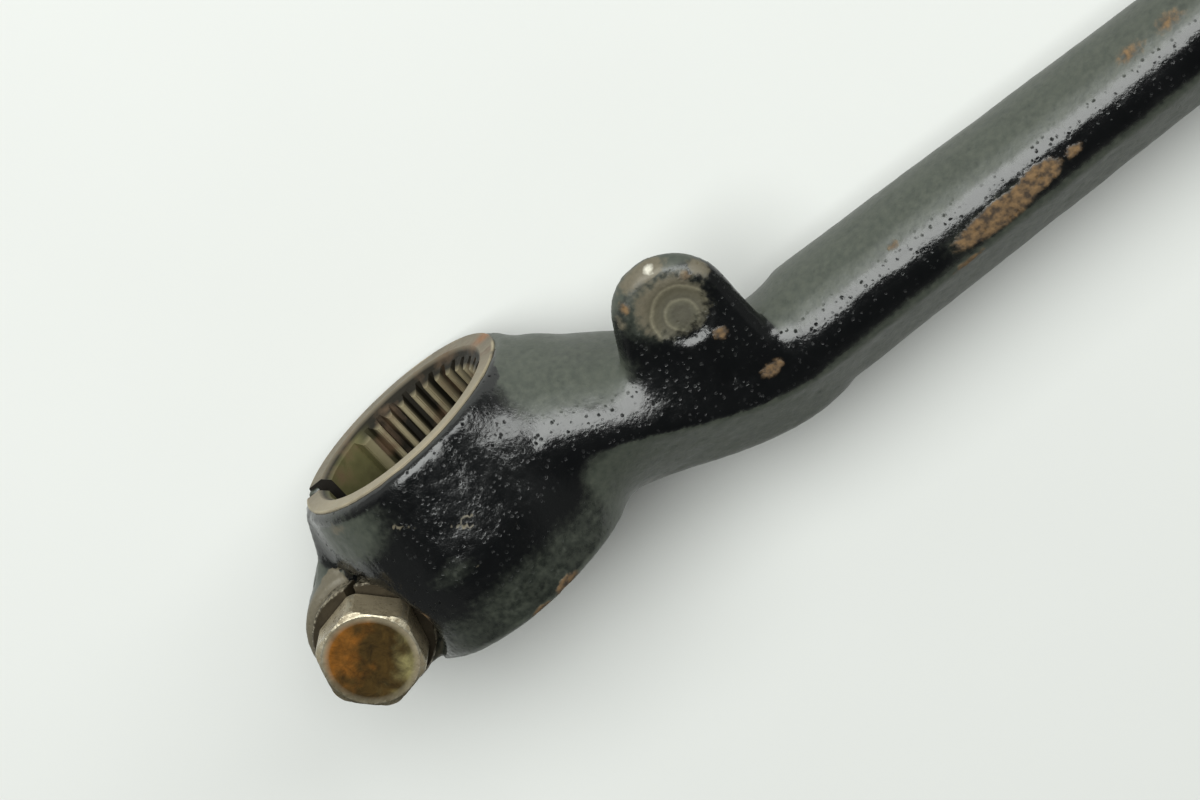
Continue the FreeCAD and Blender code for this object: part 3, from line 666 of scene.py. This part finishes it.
# The teeth are set round the bore: copies of one tooth at even steps, and the two wide lands beside the
# plain stretch
ring = bpy.data.node_groups.new("tooth_ring", "GeometryNodeTree")
ring.interface.new_socket("Geometry", in_out="INPUT", socket_type="NodeSocketGeometry")
ring.interface.new_socket("Geometry", in_out="OUTPUT", socket_type="NodeSocketGeometry")
ring_inputs = {}
for label, kind in (
    ("Tooth", "NodeSocketObject"), ("Teeth", "NodeSocketInt"), ("Pitch", "NodeSocketFloat"),
    ("First Turn", "NodeSocketFloat"), ("Finish", "NodeSocketMaterial"),
):
    ring_inputs[label] = ring.interface.new_socket(label, in_out="INPUT", socket_type=kind).identifier
given = add(ring, "NodeGroupInput").outputs
stations = add(ring, "GeometryNodeMeshLine", {
    "Count": given["Teeth"], "Offset": (0.0, 0.0, 0.0),
}).outputs["Mesh"]
number = add(ring, "GeometryNodeInputIndex").outputs["Index"]
turn = add(ring, "ShaderNodeMath", {0: number, 1: given["Pitch"], 2: given["First Turn"]},
           operation="MULTIPLY_ADD").outputs[0]
about_bore = add(ring, "FunctionNodeAxisAngleToRotation", {
    "Axis": (0.0, -1.0, 0.0), "Angle": turn,
}).outputs["Rotation"]
pattern = add(ring, "GeometryNodeObjectInfo", {"Object": given["Tooth"]}).outputs["Geometry"]
copies = add(ring, "GeometryNodeInstanceOnPoints",
             {"Points": stations, "Instance": pattern, "Rotation": about_bore}).outputs["Instances"]
solid = add(ring, "GeometryNodeRealizeInstances", {"Geometry": copies}).outputs["Geometry"]
both = add(ring, "GeometryNodeJoinGeometry")
ring.links.new(given["Geometry"], both.inputs["Geometry"])
ring.links.new(solid, both.inputs["Geometry"])
finished = add(ring, "GeometryNodeSetMaterial", {
    "Geometry": both.outputs["Geometry"], "Material": given["Finish"],
})
add(ring, "NodeGroupOutput", {"Geometry": finished.outputs["Geometry"]})

# Bare broached steel, stained: pale where the shaft has rubbed the crests, olive brown, and dark in the
# spaces, partly grease and partly painted shade
bore_steel, tree, shader = new_material("stained_broached_steel")
where = add(tree, "ShaderNodeTexCoord").outputs["Object"]
apart = add(tree, "ShaderNodeSeparateXYZ", {"Vector": where}).outputs
radial = add(tree, "ShaderNodeCombineXYZ", {"X": apart["X"], "Z": apart["Z"]}).outputs["Vector"]
radius = add(tree, "ShaderNodeVectorMath", {0: radial}, operation="LENGTH").outputs["Value"]
grain = add(tree, "ShaderNodeTexNoise", {
    "Vector": where, "Scale": per(0.5 * MM), "Detail": 6.0,
}).outputs["Fac"]
cloud = add(tree, "ShaderNodeTexNoise", {
    "Vector": where, "Scale": per(4.0 * MM), "Detail": 5.0,
}).outputs["Fac"]
# Painted shade with grease: darker from the tooth tips down into the spaces between them
groove_shade = add(tree, "ShaderNodeMapRange", {
    "Value": radius, "From Min": TOOTH_TIP_RADIUS, "From Max": TOOTH_TIP_RADIUS + 0.8 * MM,
})
rim = add(tree, "ShaderNodeMapRange", {
    "Value": radius, "From Min": TOOTH_ROOT_RADIUS + 0.5 * MOUTH_BEVEL,
    "From Max": TOOTH_ROOT_RADIUS + MOUTH_BEVEL,
})
rubbed_crest_and_groove_shade = add(tree, "ShaderNodeMix", {
    "Factor": groove_shade.outputs["Result"], "A": linear("#8b8167"), "B": linear("#1d190f"),
}, data_type="RGBA").outputs["Result"]
face = add(tree, "ShaderNodeMix", {"Factor": cloud, "A": linear("#554f44"), "B": linear("#948975")},
           data_type="RGBA").outputs["Result"]
clean = add(tree, "ShaderNodeMix", {"Factor": rim.outputs["Result"], "A": rubbed_crest_and_groove_shade, "B": face},
            data_type="RGBA").outputs["Result"]
by_slot = add(tree, "ShaderNodeMapRange", {
    "Value": apart["X"], "From Min": -6.5 * MM, "From Max": -8.5 * MM,
}).outputs["Result"]
inside = add(tree, "ShaderNodeMapRange", {
    "Value": radius, "From Min": TOOTH_ROOT_RADIUS, "From Max": TOOTH_ROOT_RADIUS + 0.5 * MM, "To Min": 1.0,
    "To Max": 0.0,
}).outputs["Result"]
plain = add(tree, "ShaderNodeMath", {0: by_slot, 1: inside}, operation="MULTIPLY").outputs[0]
olive = add(tree, "ShaderNodeMix", {"Factor": cloud, "A": linear("#2b2819"), "B": linear("#7d794f")},
            data_type="RGBA").outputs["Result"]
greased = add(tree, "ShaderNodeMix", {
    "Factor": plain, "A": clean, "B": olive,
}, data_type="RGBA").outputs["Result"]
stain = add(tree, "ShaderNodeMapRange", {
    "Value": cloud, "From Min": 0.52, "From Max": 0.72,
}).outputs["Result"]
stained = add(tree, "ShaderNodeMix", {
    "Factor": stain, "A": greased, "B": linear("#5e4a36"),
}, data_type="RGBA").outputs["Result"]
# Painted highlight: a pale broken line along the rim's outer edge
painted_edge_highlight = add(tree, "ShaderNodeMapRange", {
    "Value": radius, "From Min": RIM_RADIUS - 0.35 * MM, "From Max": RIM_RADIUS - 0.1 * MM,
}).outputs["Result"]
patchy = add(tree, "ShaderNodeMapRange", {
    "Value": cloud, "From Min": 0.44, "From Max": 0.56,
}).outputs["Result"]
painted_edge_highlight = add(tree, "ShaderNodeMath", {0: painted_edge_highlight, 1: patchy}, operation="MULTIPLY").outputs[0]
stained = add(tree, "ShaderNodeMix", {"Factor": painted_edge_highlight, "A": stained, "B": linear("#a1967d")},
              data_type="RGBA").outputs["Result"]
# Painted light: the rim's face is mixed lighter towards its upper side
painted_near_side_light = add(tree, "ShaderNodeMapRange", {
    "Value": apart["Z"], "From Max": 9.0 * MM, "To Max": 0.6,
}).outputs["Result"]
painted_near_side_light = add(tree, "ShaderNodeMath", {
    0: painted_near_side_light, 1: rim.outputs["Result"],
}, operation="MULTIPLY").outputs[0]
stained = add(tree, "ShaderNodeMix", {"Factor": painted_near_side_light, "A": stained, "B": linear("#aa9f89")},
              data_type="RGBA").outputs["Result"]
from_spot = add(tree, "ShaderNodeVectorMath", {
    0: where, 1: RUST_SPOT,
}, operation="DISTANCE").outputs["Value"]
spot = add(tree, "ShaderNodeMapRange", {
    "Value": from_spot, "From Max": RUST_SPOT_REACH, "To Min": 0.9, "To Max": 0.0,
}, interpolation_type="SMOOTHSTEP").outputs["Result"]
stained = add(tree, "ShaderNodeMix", {"Factor": spot, "A": stained, "B": linear("#8d5f3a")},
              data_type="RGBA").outputs["Result"]
# Painted shade: the slot's faces are coloured near black, as the narrow gap between them lies in shadow
level = add(tree, "ShaderNodeMath", {0: apart["Z"]}, operation="ABSOLUTE").outputs[0]
painted_slot_shade = add(tree, "ShaderNodeMapRange", {
    "Value": level, "From Min": 0.5 * SLOT_WIDTH + 0.02 * MM, "From Max": 0.5 * SLOT_WIDTH + 0.1 * MM,
    "To Min": 1.0, "To Max": 0.0,
}).outputs["Result"]
painted_slot_shade = add(tree, "ShaderNodeMath", {0: painted_slot_shade, 1: by_slot}, operation="MULTIPLY").outputs[0]
stained = add(tree, "ShaderNodeMix", {"Factor": painted_slot_shade, "A": stained, "B": linear("#1b1712")},
              data_type="RGBA").outputs["Result"]
rough = add(tree, "ShaderNodeMapRange", {"Value": grain, "To Min": 0.4, "To Max": 0.7}).outputs["Result"]
metal = add(tree, "ShaderNodeMapRange", {"Value": stain, "To Min": 0.5, "To Max": 0.15}).outputs["Result"]
bump = add(tree, "ShaderNodeBump", {
    "Height": grain, "Strength": 0.35, "Distance": 0.05 * MM,
}).outputs["Normal"]
for socket, source in (("Base Color", stained), ("Roughness", rough), ("Metallic", metal), ("Normal", bump)):
    tree.links.new(source, shader.inputs[socket])


def set_round(piece, tree, inputs, values):
    """Runs a node tree on a piece with named inputs and keeps the result as a plain mesh."""
    modifier = piece.modifiers.new(tree.name, "NODES")
    modifier.node_group = tree
    for label, value in values.items():
        modifier[inputs[label]] = value
    return as_plain_mesh(piece)


set_round(liner, ring, ring_inputs, {
    "Tooth": tooth, "Teeth": 2 * SIDE_SPACES, "Pitch": pitch, "First Turn": -SIDE_SPACES * pitch,
    "Finish": bore_steel,
})
for land in end_teeth:
    set_round(liner, ring, ring_inputs, {
        "Tooth": land, "Teeth": 1, "Pitch": pitch, "First Turn": 0.0, "Finish": bore_steel,
    })
liner.data.materials.clear()
liner.data.materials.append(bore_steel)
liner.data.polygons.foreach_set("material_index", [0] * len(liner.data.polygons))
for pattern_piece in [tooth] + end_teeth:
    bpy.data.objects.remove(pattern_piece)
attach(liner, "root")

# Pinch bolt
# A plain steel hexagon bolt that pulls the two ears of the hub together. Its head is turned with a round
# bevel. Spanners have rounded the corners and rubbed the edges bright, and the face has rusted orange to
# dark brown.
BOLT_RADIUS = 4.0 * MM
BOLT_TIP = -10.9 * MM
THREAD_PITCH = 1.25 * MM
THREAD_DEPTH = 0.6 * MM
THREAD_STEPS = 8
TIP_TAPER = 0.8 * MM
HEAD_BASE = 9.4 * MM
HEAD_HEIGHT = 5.4 * MM
HEAD_FLATS = 12.0 * MM
HEAD_TURN = math.radians(12.8)
HEAD_SIDES = 6
BEVEL_SLOPE = math.tan(math.radians(25.0))
CORNER_WEAR = 0.3 * MM
HEAD_SECTOR = 2.0 * math.pi / HEAD_SIDES
CORNER_RUB = math.radians(8.0)
BEVEL_RUB = 0.5 * MM
FACE_SHARE = 0.985
RIM_SHARE = 0.96
SHARP_ANGLE = math.radians(22.0)
TURN_STEPS = 96


def hexagon_reach(bearing, worn):
    """Distance from the bolt's axis to the hexagon's side at a bearing, with its corners worn round."""
    off_middle = (bearing - HEAD_TURN) % HEAD_SECTOR - 0.5 * HEAD_SECTOR
    flat = 0.5 * HEAD_FLATS / math.cos(off_middle)
    corner = 0.5 * HEAD_FLATS / math.cos(0.5 * HEAD_SECTOR)
    return min(flat, corner - worn)


def bolt_point(reach, bearing, height):
    return (BOLT_AXIS.x + reach * math.cos(bearing), BOLT_AXIS.y + reach * math.sin(bearing), height)


head_top = HEAD_BASE + HEAD_HEIGHT
bearings = [2.0 * math.pi * step / TURN_STEPS for step in range(TURN_STEPS)]
made = bmesh.new()
rings = []
polish = []
thread_steps = int((HEAD_BASE - BOLT_TIP) / (THREAD_PITCH / THREAD_STEPS))
for step in range(thread_steps + 1):
    height = BOLT_TIP + (HEAD_BASE - BOLT_TIP) * step / thread_steps
    lead = min(1.0, (height - BOLT_TIP) / TIP_TAPER)
    row = []
    for bearing in bearings:
        phase = (height / THREAD_PITCH - bearing / (2.0 * math.pi)) % 1.0
        groove = 1.0 - abs(2.0 * phase - 1.0)
        reach = BOLT_RADIUS - THREAD_DEPTH * groove - TIP_TAPER * (1.0 - lead)
        row.append(made.verts.new(bolt_point(reach, bearing, height)))
        polish.append(0.3 * (1.0 - groove))
    rings.append(row)

# The head's sides and its round bevel, as (share of the width, share of the height), then the dished face
HEAD_ROWS = [
    (0.93, 0.0), (0.985, 0.02), (1.0, 0.06), (1.0, 0.2), (1.0, 0.35), (1.0, 0.5), (1.0, 0.62), (1.0, 0.72),
    (1.0, 0.8), (1.0, 0.86), (1.0, 0.91), (1.0, 0.95), (1.0, 0.98),
]
FACE_ROWS = [(0.975, 0.0), (0.94, 0.03), (0.86, 0.10), (0.7, 0.12), (0.45, 0.12), (0.2, 0.11)]
for width, share in HEAD_ROWS:
    height = HEAD_BASE + HEAD_HEIGHT * share
    row = []
    for bearing in bearings:
        limit = 0.5 * HEAD_FLATS * FACE_SHARE + (head_top - height) / BEVEL_SLOPE
        side = width * hexagon_reach(bearing, CORNER_WEAR)
        reach = min(side, limit)
        row.append(made.verts.new(bolt_point(reach, bearing, height)))
        from_corner = abs((bearing - HEAD_TURN + 0.5 * HEAD_SECTOR) % HEAD_SECTOR - 0.5 * HEAD_SECTOR)
        corner_rub = max(0.0, 1.0 - from_corner / CORNER_RUB)
        by_bevel = limit < side + BEVEL_RUB
        bevel_rub = max(0.0, 1.0 - max(0.0, side - limit) / BEVEL_RUB) if by_bevel else 0.0
        polish.append(max(corner_rub, bevel_rub))
    rings.append(row)
for share, drop in FACE_ROWS:
    reach = 0.5 * HEAD_FLATS * share
    rings.append([made.verts.new(bolt_point(reach, bearing, head_top - drop * MM)) for bearing in bearings])
    polish.extend([1.0 if share > RIM_SHARE else 0.0] * TURN_STEPS)
for first, second in zip(rings, rings[1:]):
    for step in range(TURN_STEPS):
        after = (step + 1) % TURN_STEPS
        made.faces.new((first[step], first[after], second[after], second[step]))
made.faces.new(rings[0])
made.faces.new(rings[-1])
bmesh.ops.recalc_face_normals(made, faces=made.faces)
bolt_mesh = bpy.data.meshes.new("pinch_bolt")
made.to_mesh(bolt_mesh)
made.free()
bolt_mesh.polygons.foreach_set("use_smooth", [True] * len(bolt_mesh.polygons))
bolt_mesh.set_sharp_from_angle(angle=SHARP_ANGLE)
bolt_mesh.attributes.new("polish", "FLOAT", "POINT").data.foreach_set("value", polish)
bolt = new_piece("hexagon_pinch_bolt", bolt_mesh)

# Worn plain steel: brushed silver on the rubbed edges, brown stain on the sides, rust on the face, and
# painted shade on the lower side
bolt_steel, tree, shader = new_material("worn_rusty_bolt_steel")
where = add(tree, "ShaderNodeTexCoord").outputs["Object"]
centred = add(tree, "ShaderNodeMapping", {
    "Vector": where, "Location": (-BOLT_AXIS.x, -BOLT_AXIS.y, -head_top),
}).outputs["Vector"]
apart = add(tree, "ShaderNodeSeparateXYZ", {"Vector": centred}).outputs
across = add(tree, "ShaderNodeCombineXYZ", {"X": apart["X"], "Y": apart["Y"]}).outputs["Vector"]
radius = add(tree, "ShaderNodeVectorMath", {0: across}, operation="LENGTH").outputs["Value"]
grain = add(tree, "ShaderNodeTexNoise", {
    "Vector": where, "Scale": per(0.6 * MM), "Detail": 7.0,
}).outputs["Fac"]
grain = add(tree, "ShaderNodeMapRange", {
    "Value": grain, "From Min": 0.36, "From Max": 0.64,
}).outputs["Result"]
cloud = add(tree, "ShaderNodeTexNoise", {
    "Vector": where, "Scale": per(3.5 * MM), "Detail": 5.0,
}).outputs["Fac"]
on_face = add(tree, "ShaderNodeMapRange", {
    "Value": apart["Z"], "From Min": -0.45 * MM, "From Max": -0.15 * MM,
}).outputs["Result"]
inside = add(tree, "ShaderNodeMapRange", {
    "Value": radius, "From Min": 4.9 * MM, "From Max": 5.7 * MM, "To Min": 1.0, "To Max": 0.0,
}).outputs["Result"]
face_mask = add(tree, "ShaderNodeMath", {0: on_face, 1: inside}, operation="MULTIPLY").outputs[0]
stained_side = add(tree, "ShaderNodeMix", {"Factor": cloud, "A": linear("#584c39"), "B": linear("#b5a98f")},
                   data_type="RGBA").outputs["Result"]
rubbed = add(tree, "ShaderNodeAttribute", attribute_name="polish").outputs["Fac"]
patchy = add(tree, "ShaderNodeMath", {0: cloud, 1: grain}, operation="ADD").outputs[0]
rub = add(tree, "ShaderNodeMath", {0: patchy, 1: 0.9, 2: rubbed}, operation="MULTIPLY_ADD").outputs[0]
rub = add(tree, "ShaderNodeMapRange", {"Value": rub, "From Min": 1.45, "From Max": 2.0}).outputs["Result"]
side_tone = add(tree, "ShaderNodeMix", {"Factor": rub, "A": stained_side, "B": linear("#b0a894")},
                data_type="RGBA").outputs["Result"]
# Painted shade: the outer ring of the head's face is darkened on its lower side
down = add(tree, "ShaderNodeVectorMath", {
    0: centred, 1: (-0.65, -0.76, 0.0),
}, operation="DOT_PRODUCT").outputs["Value"]
painted_low_side_shade = add(tree, "ShaderNodeMapRange", {
    "Value": down, "From Min": 1.0 * MM, "From Max": 4.5 * MM, "To Max": 0.75,
})
painted_low_side_shade = add(tree, "ShaderNodeMath", {
    0: painted_low_side_shade.outputs["Result"], 1: on_face,
}, operation="MULTIPLY").outputs[0]
side_tone = add(tree, "ShaderNodeMix", {"Factor": painted_low_side_shade, "A": side_tone, "B": linear("#4a4432")},
                data_type="RGBA").outputs["Result"]
crusty = add(tree, "ShaderNodeTexNoise", {
    "Vector": where, "Scale": per(1.6 * MM), "Detail": 8.0, "Roughness": 0.72, "Distortion": 0.6,
}).outputs["Fac"]
crusty = add(tree, "ShaderNodeMapRange", {
    "Value": crusty, "From Min": 0.25, "From Max": 0.75,
}).outputs["Result"]
left = add(tree, "ShaderNodeVectorMath", {
    0: centred, 1: (-0.55, 0.65, 0.0),
}, operation="DOT_PRODUCT").outputs["Value"]
lean = add(tree, "ShaderNodeMath", {0: cloud, 1: 9.0 * MM, 2: left}, operation="MULTIPLY_ADD").outputs[0]
orange = add(tree, "ShaderNodeMapRange", {"Value": lean, "From Min": 5.0 * MM, "From Max": 8.4 * MM},
             interpolation_type="SMOOTHSTEP").outputs["Result"]
middle = add(tree, "ShaderNodeMix", {"Factor": crusty, "A": linear("#1a1308"), "B": linear("#4a3819")},
             data_type="RGBA").outputs["Result"]
green = add(tree, "ShaderNodeMix", {"Factor": crusty, "A": linear("#423c26"), "B": linear("#8c8459")},
            data_type="RGBA").outputs["Result"]
right_side = add(tree, "ShaderNodeMapRange", {
    "Value": lean, "From Min": -0.4 * MM, "From Max": 3.2 * MM, "To Min": 1.0, "To Max": 0.0,
}, interpolation_type="SMOOTHSTEP").outputs["Result"]
dark = add(tree, "ShaderNodeMix", {
    "Factor": right_side, "A": middle, "B": green,
}, data_type="RGBA").outputs["Result"]
bright = add(tree, "ShaderNodeMix", {
    "Factor": crusty, "A": linear("#56360f"), "B": linear("#9c6225"),
}, data_type="RGBA").outputs["Result"]
face = add(tree, "ShaderNodeMix", {
    "Factor": orange, "A": dark, "B": bright,
}, data_type="RGBA").outputs["Result"]
colour = add(tree, "ShaderNodeMix", {
    "Factor": face_mask, "A": side_tone, "B": face,
}, data_type="RGBA").outputs["Result"]
rough_steel = add(tree, "ShaderNodeMapRange", {
    "Value": grain, "To Min": 0.22, "To Max": 0.55,
}).outputs["Result"]
rough = add(tree, "ShaderNodeMix", {"Factor": face_mask, "A": rough_steel, "B": 0.7}).outputs["Result"]
bared = add(tree, "ShaderNodeMapRange", {"Value": rub, "To Min": 0.35, "To Max": 0.9}).outputs["Result"]
metal = add(tree, "ShaderNodeMix", {"Factor": face_mask, "A": bared, "B": 0.0}).outputs["Result"]
bump = add(tree, "ShaderNodeBump", {
    "Height": grain, "Strength": 0.35, "Distance": 0.08 * MM,
}).outputs["Normal"]
mirror = add(tree, "ShaderNodeMapRange", {
    "Value": face_mask, "To Min": 0.5, "To Max": 0.1,
}).outputs["Result"]
tree.links.new(mirror, shader.inputs["Specular IOR Level"])
for socket, source in (("Base Color", colour), ("Roughness", rough), ("Metallic", metal), ("Normal", bump)):
    tree.links.new(source, shader.inputs[socket])
bolt_mesh.materials.append(bolt_steel)
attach(bolt, "root")
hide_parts("pinch_bolt")

# Lock washer
# A split ring coiled from square spring-steel wire and squeezed flat under the bolt head, so that its two
# cut ends stay a little apart and bite when the bolt turns back.
WASHER_OUTER = 7.5 * MM
WASHER_INNER = 4.2 * MM
WASHER_FOOT = SPOT_HEIGHT
WASHER_HEIGHT = 2.0 * MM
WASHER_EDGE = 0.22 * MM
WASHER_GAP = 1.3 * MM
WASHER_GAP_BEARING = math.radians(68.0)
WASHER_SLANT = math.radians(5.0)
WASHER_STEPS = 120
WASHER_SHARP_ANGLE = math.radians(30.0)
section = [
    (WASHER_INNER, WASHER_EDGE), (WASHER_INNER + WASHER_EDGE, 0.0),
    (WASHER_OUTER - WASHER_EDGE, 0.0), (WASHER_OUTER, WASHER_EDGE),
    (WASHER_OUTER, WASHER_HEIGHT - WASHER_EDGE), (WASHER_OUTER - WASHER_EDGE, WASHER_HEIGHT),
    (WASHER_INNER + WASHER_EDGE, WASHER_HEIGHT), (WASHER_INNER, WASHER_HEIGHT - WASHER_EDGE),
]
made = bmesh.new()
rows = []
for step in range(WASHER_STEPS + 1):
    row = []
    for radius, height in section:
        half_gap = 0.5 * WASHER_GAP / radius
        lean = WASHER_SLANT * (2.0 * height / WASHER_HEIGHT - 1.0)
        sweep = 2.0 * math.pi - 2.0 * half_gap
        bearing = WASHER_GAP_BEARING + half_gap + lean + sweep * step / WASHER_STEPS
        row.append(made.verts.new(bolt_point(radius, bearing, WASHER_FOOT + height)))
    rows.append(row)
for first, second in zip(rows, rows[1:]):
    for corner in range(len(section)):
        after = (corner + 1) % len(section)
        made.faces.new((first[corner], first[after], second[after], second[corner]))
made.faces.new(rows[0])
made.faces.new(rows[-1])
bmesh.ops.recalc_face_normals(made, faces=made.faces)
washer_mesh = bpy.data.meshes.new("lock_washer")
made.to_mesh(washer_mesh)
made.free()
washer_mesh.polygons.foreach_set("use_smooth", [True] * len(washer_mesh.polygons))
washer_mesh.set_sharp_from_angle(angle=WASHER_SHARP_ANGLE)
washer = new_piece("split_lock_washer", washer_mesh)

# Oiled spring steel: dark grey-brown with rubbed pale corners
spring_steel, tree, shader = new_material("oiled_spring_steel")
where = add(tree, "ShaderNodeTexCoord").outputs["Object"]
grain = add(tree, "ShaderNodeTexNoise", {
    "Vector": where, "Scale": per(0.4 * MM), "Detail": 6.0,
}).outputs["Fac"]
cloud = add(tree, "ShaderNodeTexNoise", {
    "Vector": where, "Scale": per(2.5 * MM), "Detail": 4.0,
}).outputs["Fac"]
centred = add(tree, "ShaderNodeMapping", {
    "Vector": where, "Location": (-BOLT_AXIS.x, -BOLT_AXIS.y, 0.0),
}).outputs["Vector"]
apart = add(tree, "ShaderNodeSeparateXYZ", {"Vector": centred}).outputs
across = add(tree, "ShaderNodeCombineXYZ", {"X": apart["X"], "Y": apart["Y"]}).outputs["Vector"]
radius = add(tree, "ShaderNodeVectorMath", {0: across}, operation="LENGTH").outputs["Value"]
oiled = add(tree, "ShaderNodeMix", {"Factor": cloud, "A": linear("#1e1912"), "B": linear("#514838")},
            data_type="RGBA").outputs["Result"]
edge = add(tree, "ShaderNodeMapRange", {
    "Value": radius, "From Min": WASHER_OUTER - 0.6 * MM, "From Max": WASHER_OUTER - 0.1 * MM,
}).outputs["Result"]
worn = add(tree, "ShaderNodeMath", {0: edge, 1: grain}, operation="MULTIPLY").outputs[0]
worn = add(tree, "ShaderNodeMapRange", {"Value": worn, "From Min": 0.4, "From Max": 0.6}).outputs["Result"]
colour = add(tree, "ShaderNodeMix", {
    "Factor": worn, "A": oiled, "B": linear("#8f8775"),
}, data_type="RGBA").outputs["Result"]
rough = add(tree, "ShaderNodeMapRange", {"Value": grain, "To Min": 0.25, "To Max": 0.55}).outputs["Result"]
bump = add(tree, "ShaderNodeBump", {
    "Height": grain, "Strength": 0.4, "Distance": 0.06 * MM,
}).outputs["Normal"]
shader.inputs["Metallic"].default_value = 0.5
for socket, source in (("Base Color", colour), ("Roughness", rough), ("Normal", bump)):
    tree.links.new(source, shader.inputs[socket])
washer_mesh.materials.append(spring_steel)
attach(washer, "root")
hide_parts("lock_washer")

# Bench, light and camera
# The pedal lies on a plain white painted bench, in a room that is pale low down and dim above, under a broad
# skylight behind it and a long window low on the right. The camera looks down at the hub.
BENCH_SIZE = 6.0
bench_mesh = bpy.data.meshes.new("bench")
half = 0.5 * BENCH_SIZE
bench_level = cad_box[0][2]
corners = [(-half, -half), (half, -half), (half, half), (-half, half)]
bench_mesh.from_pydata([(x, y, bench_level) for x, y in corners], [], [(0, 1, 2, 3)])
bench = new_piece("bench", bench_mesh)

# Brushed white paint: dull, and a little uneven over a hand's width
bench_paint, tree, shader = new_material("white_bench_paint")
where = add(tree, "ShaderNodeTexCoord").outputs["Object"]
cloud = add(tree, "ShaderNodeTexNoise", {
    "Vector": where, "Scale": per(60.0 * MM), "Detail": 6.0,
}).outputs["Fac"]
paint = add(tree, "ShaderNodeMix", {"Factor": cloud, "A": linear("#d7d8d6"), "B": linear("#dcdddb")},
            data_type="RGBA").outputs["Result"]
tree.links.new(paint, shader.inputs["Base Color"])
shader.inputs["Roughness"].default_value = 0.8
shader.inputs["Specular IOR Level"].default_value = 0.15
bench_mesh.materials.append(bench_paint)

# The room: walls that fade upwards, brighter behind the pedal
scene = bpy.context.scene
scene.view_settings.view_transform = "Standard"
world = bpy.data.worlds.new("room")
world.use_nodes = True
tree = world.node_tree
tree.nodes.clear()
heading = add(tree, "ShaderNodeTexCoord").outputs["Generated"]
apart = add(tree, "ShaderNodeSeparateXYZ", {"Vector": heading}).outputs
walls = add(tree, "ShaderNodeMapRange", {
    "Value": apart["Z"], "From Min": 0.5, "From Max": 0.88, "To Min": 0.15, "To Max": 0.03,
}, interpolation_type="SMOOTHSTEP").outputs["Result"]
behind = add(tree, "ShaderNodeMapRange", {"Value": apart["Y"], "From Max": 0.6, "To Max": 0.4},
             interpolation_type="SMOOTHSTEP").outputs["Result"]
below = add(tree, "ShaderNodeMapRange", {
    "Value": apart["Z"], "From Min": 0.75, "From Max": 0.92, "To Min": 1.0, "To Max": 0.0,
}).outputs["Result"]
glow = add(tree, "ShaderNodeMath", {0: behind, 1: below, 2: walls}, operation="MULTIPLY_ADD").outputs[0]
sky = add(tree, "ShaderNodeBackground", {"Color": linear("#f3f6f1"), "Strength": glow})
add(tree, "ShaderNodeOutputWorld", {"Surface": sky.outputs["Background"]})
scene.world = world

# Two soft lamps, each with its place, the way behind it, the way its long side runs, its sizes in metres and
# its power
LAMPS = [
    ("skylight", (0.15, 0.8, 1.2), (0.0, 0.0, 1.0), (1.0, 0.0, 0.0), (1.2, 1.2), 29.5),
    ("side_window", (1.2, 0.53, 0.93), (0.75, 0.33, 0.58), (-0.63, 0.63, 0.44), (1.1, 0.45), 8.5),
]
for name, place, back, along, size, power in LAMPS:
    lamp = bpy.data.lights.new(name, "AREA")
    lamp.shape = "RECTANGLE"
    lamp.size, lamp.size_y = size
    lamp.energy = power
    lamp.color = linear("#f8fbf8")[:3]
    holder = bpy.data.objects.new(name, lamp)
    back = Vector(back).normalized()
    across = Vector(along) - Vector(along).dot(back) * back
    across.normalize()
    turned = Matrix((across, back.cross(across), back)).transposed().to_4x4()
    holder.matrix_world = Matrix.Translation(place) @ turned
    scene.collection.objects.link(holder)

SENSOR_WIDTH = 36.0
FOCAL_LENGTH = 112.05
CAMERA_PLACE = Vector((144.6, 130.4, 405.8)) * MM
CAMERA_RIGHT = Vector((0.758, -0.652, -0.021))
CAMERA_UP = Vector((0.59, 0.698, -0.407))
camera_data = bpy.data.cameras.new("camera")
camera_data.sensor_width = SENSOR_WIDTH
camera_data.lens = FOCAL_LENGTH
camera = bpy.data.objects.new("camera", camera_data)
right = CAMERA_RIGHT.normalized()
up = (CAMERA_UP - CAMERA_UP.dot(right) * right).normalized()
back = right.cross(up)
stand = Matrix((right, up, back)).transposed().to_4x4()
camera.matrix_world = Matrix.Translation(CAMERA_PLACE) @ stand
scene.collection.objects.link(camera)
scene.camera = camera
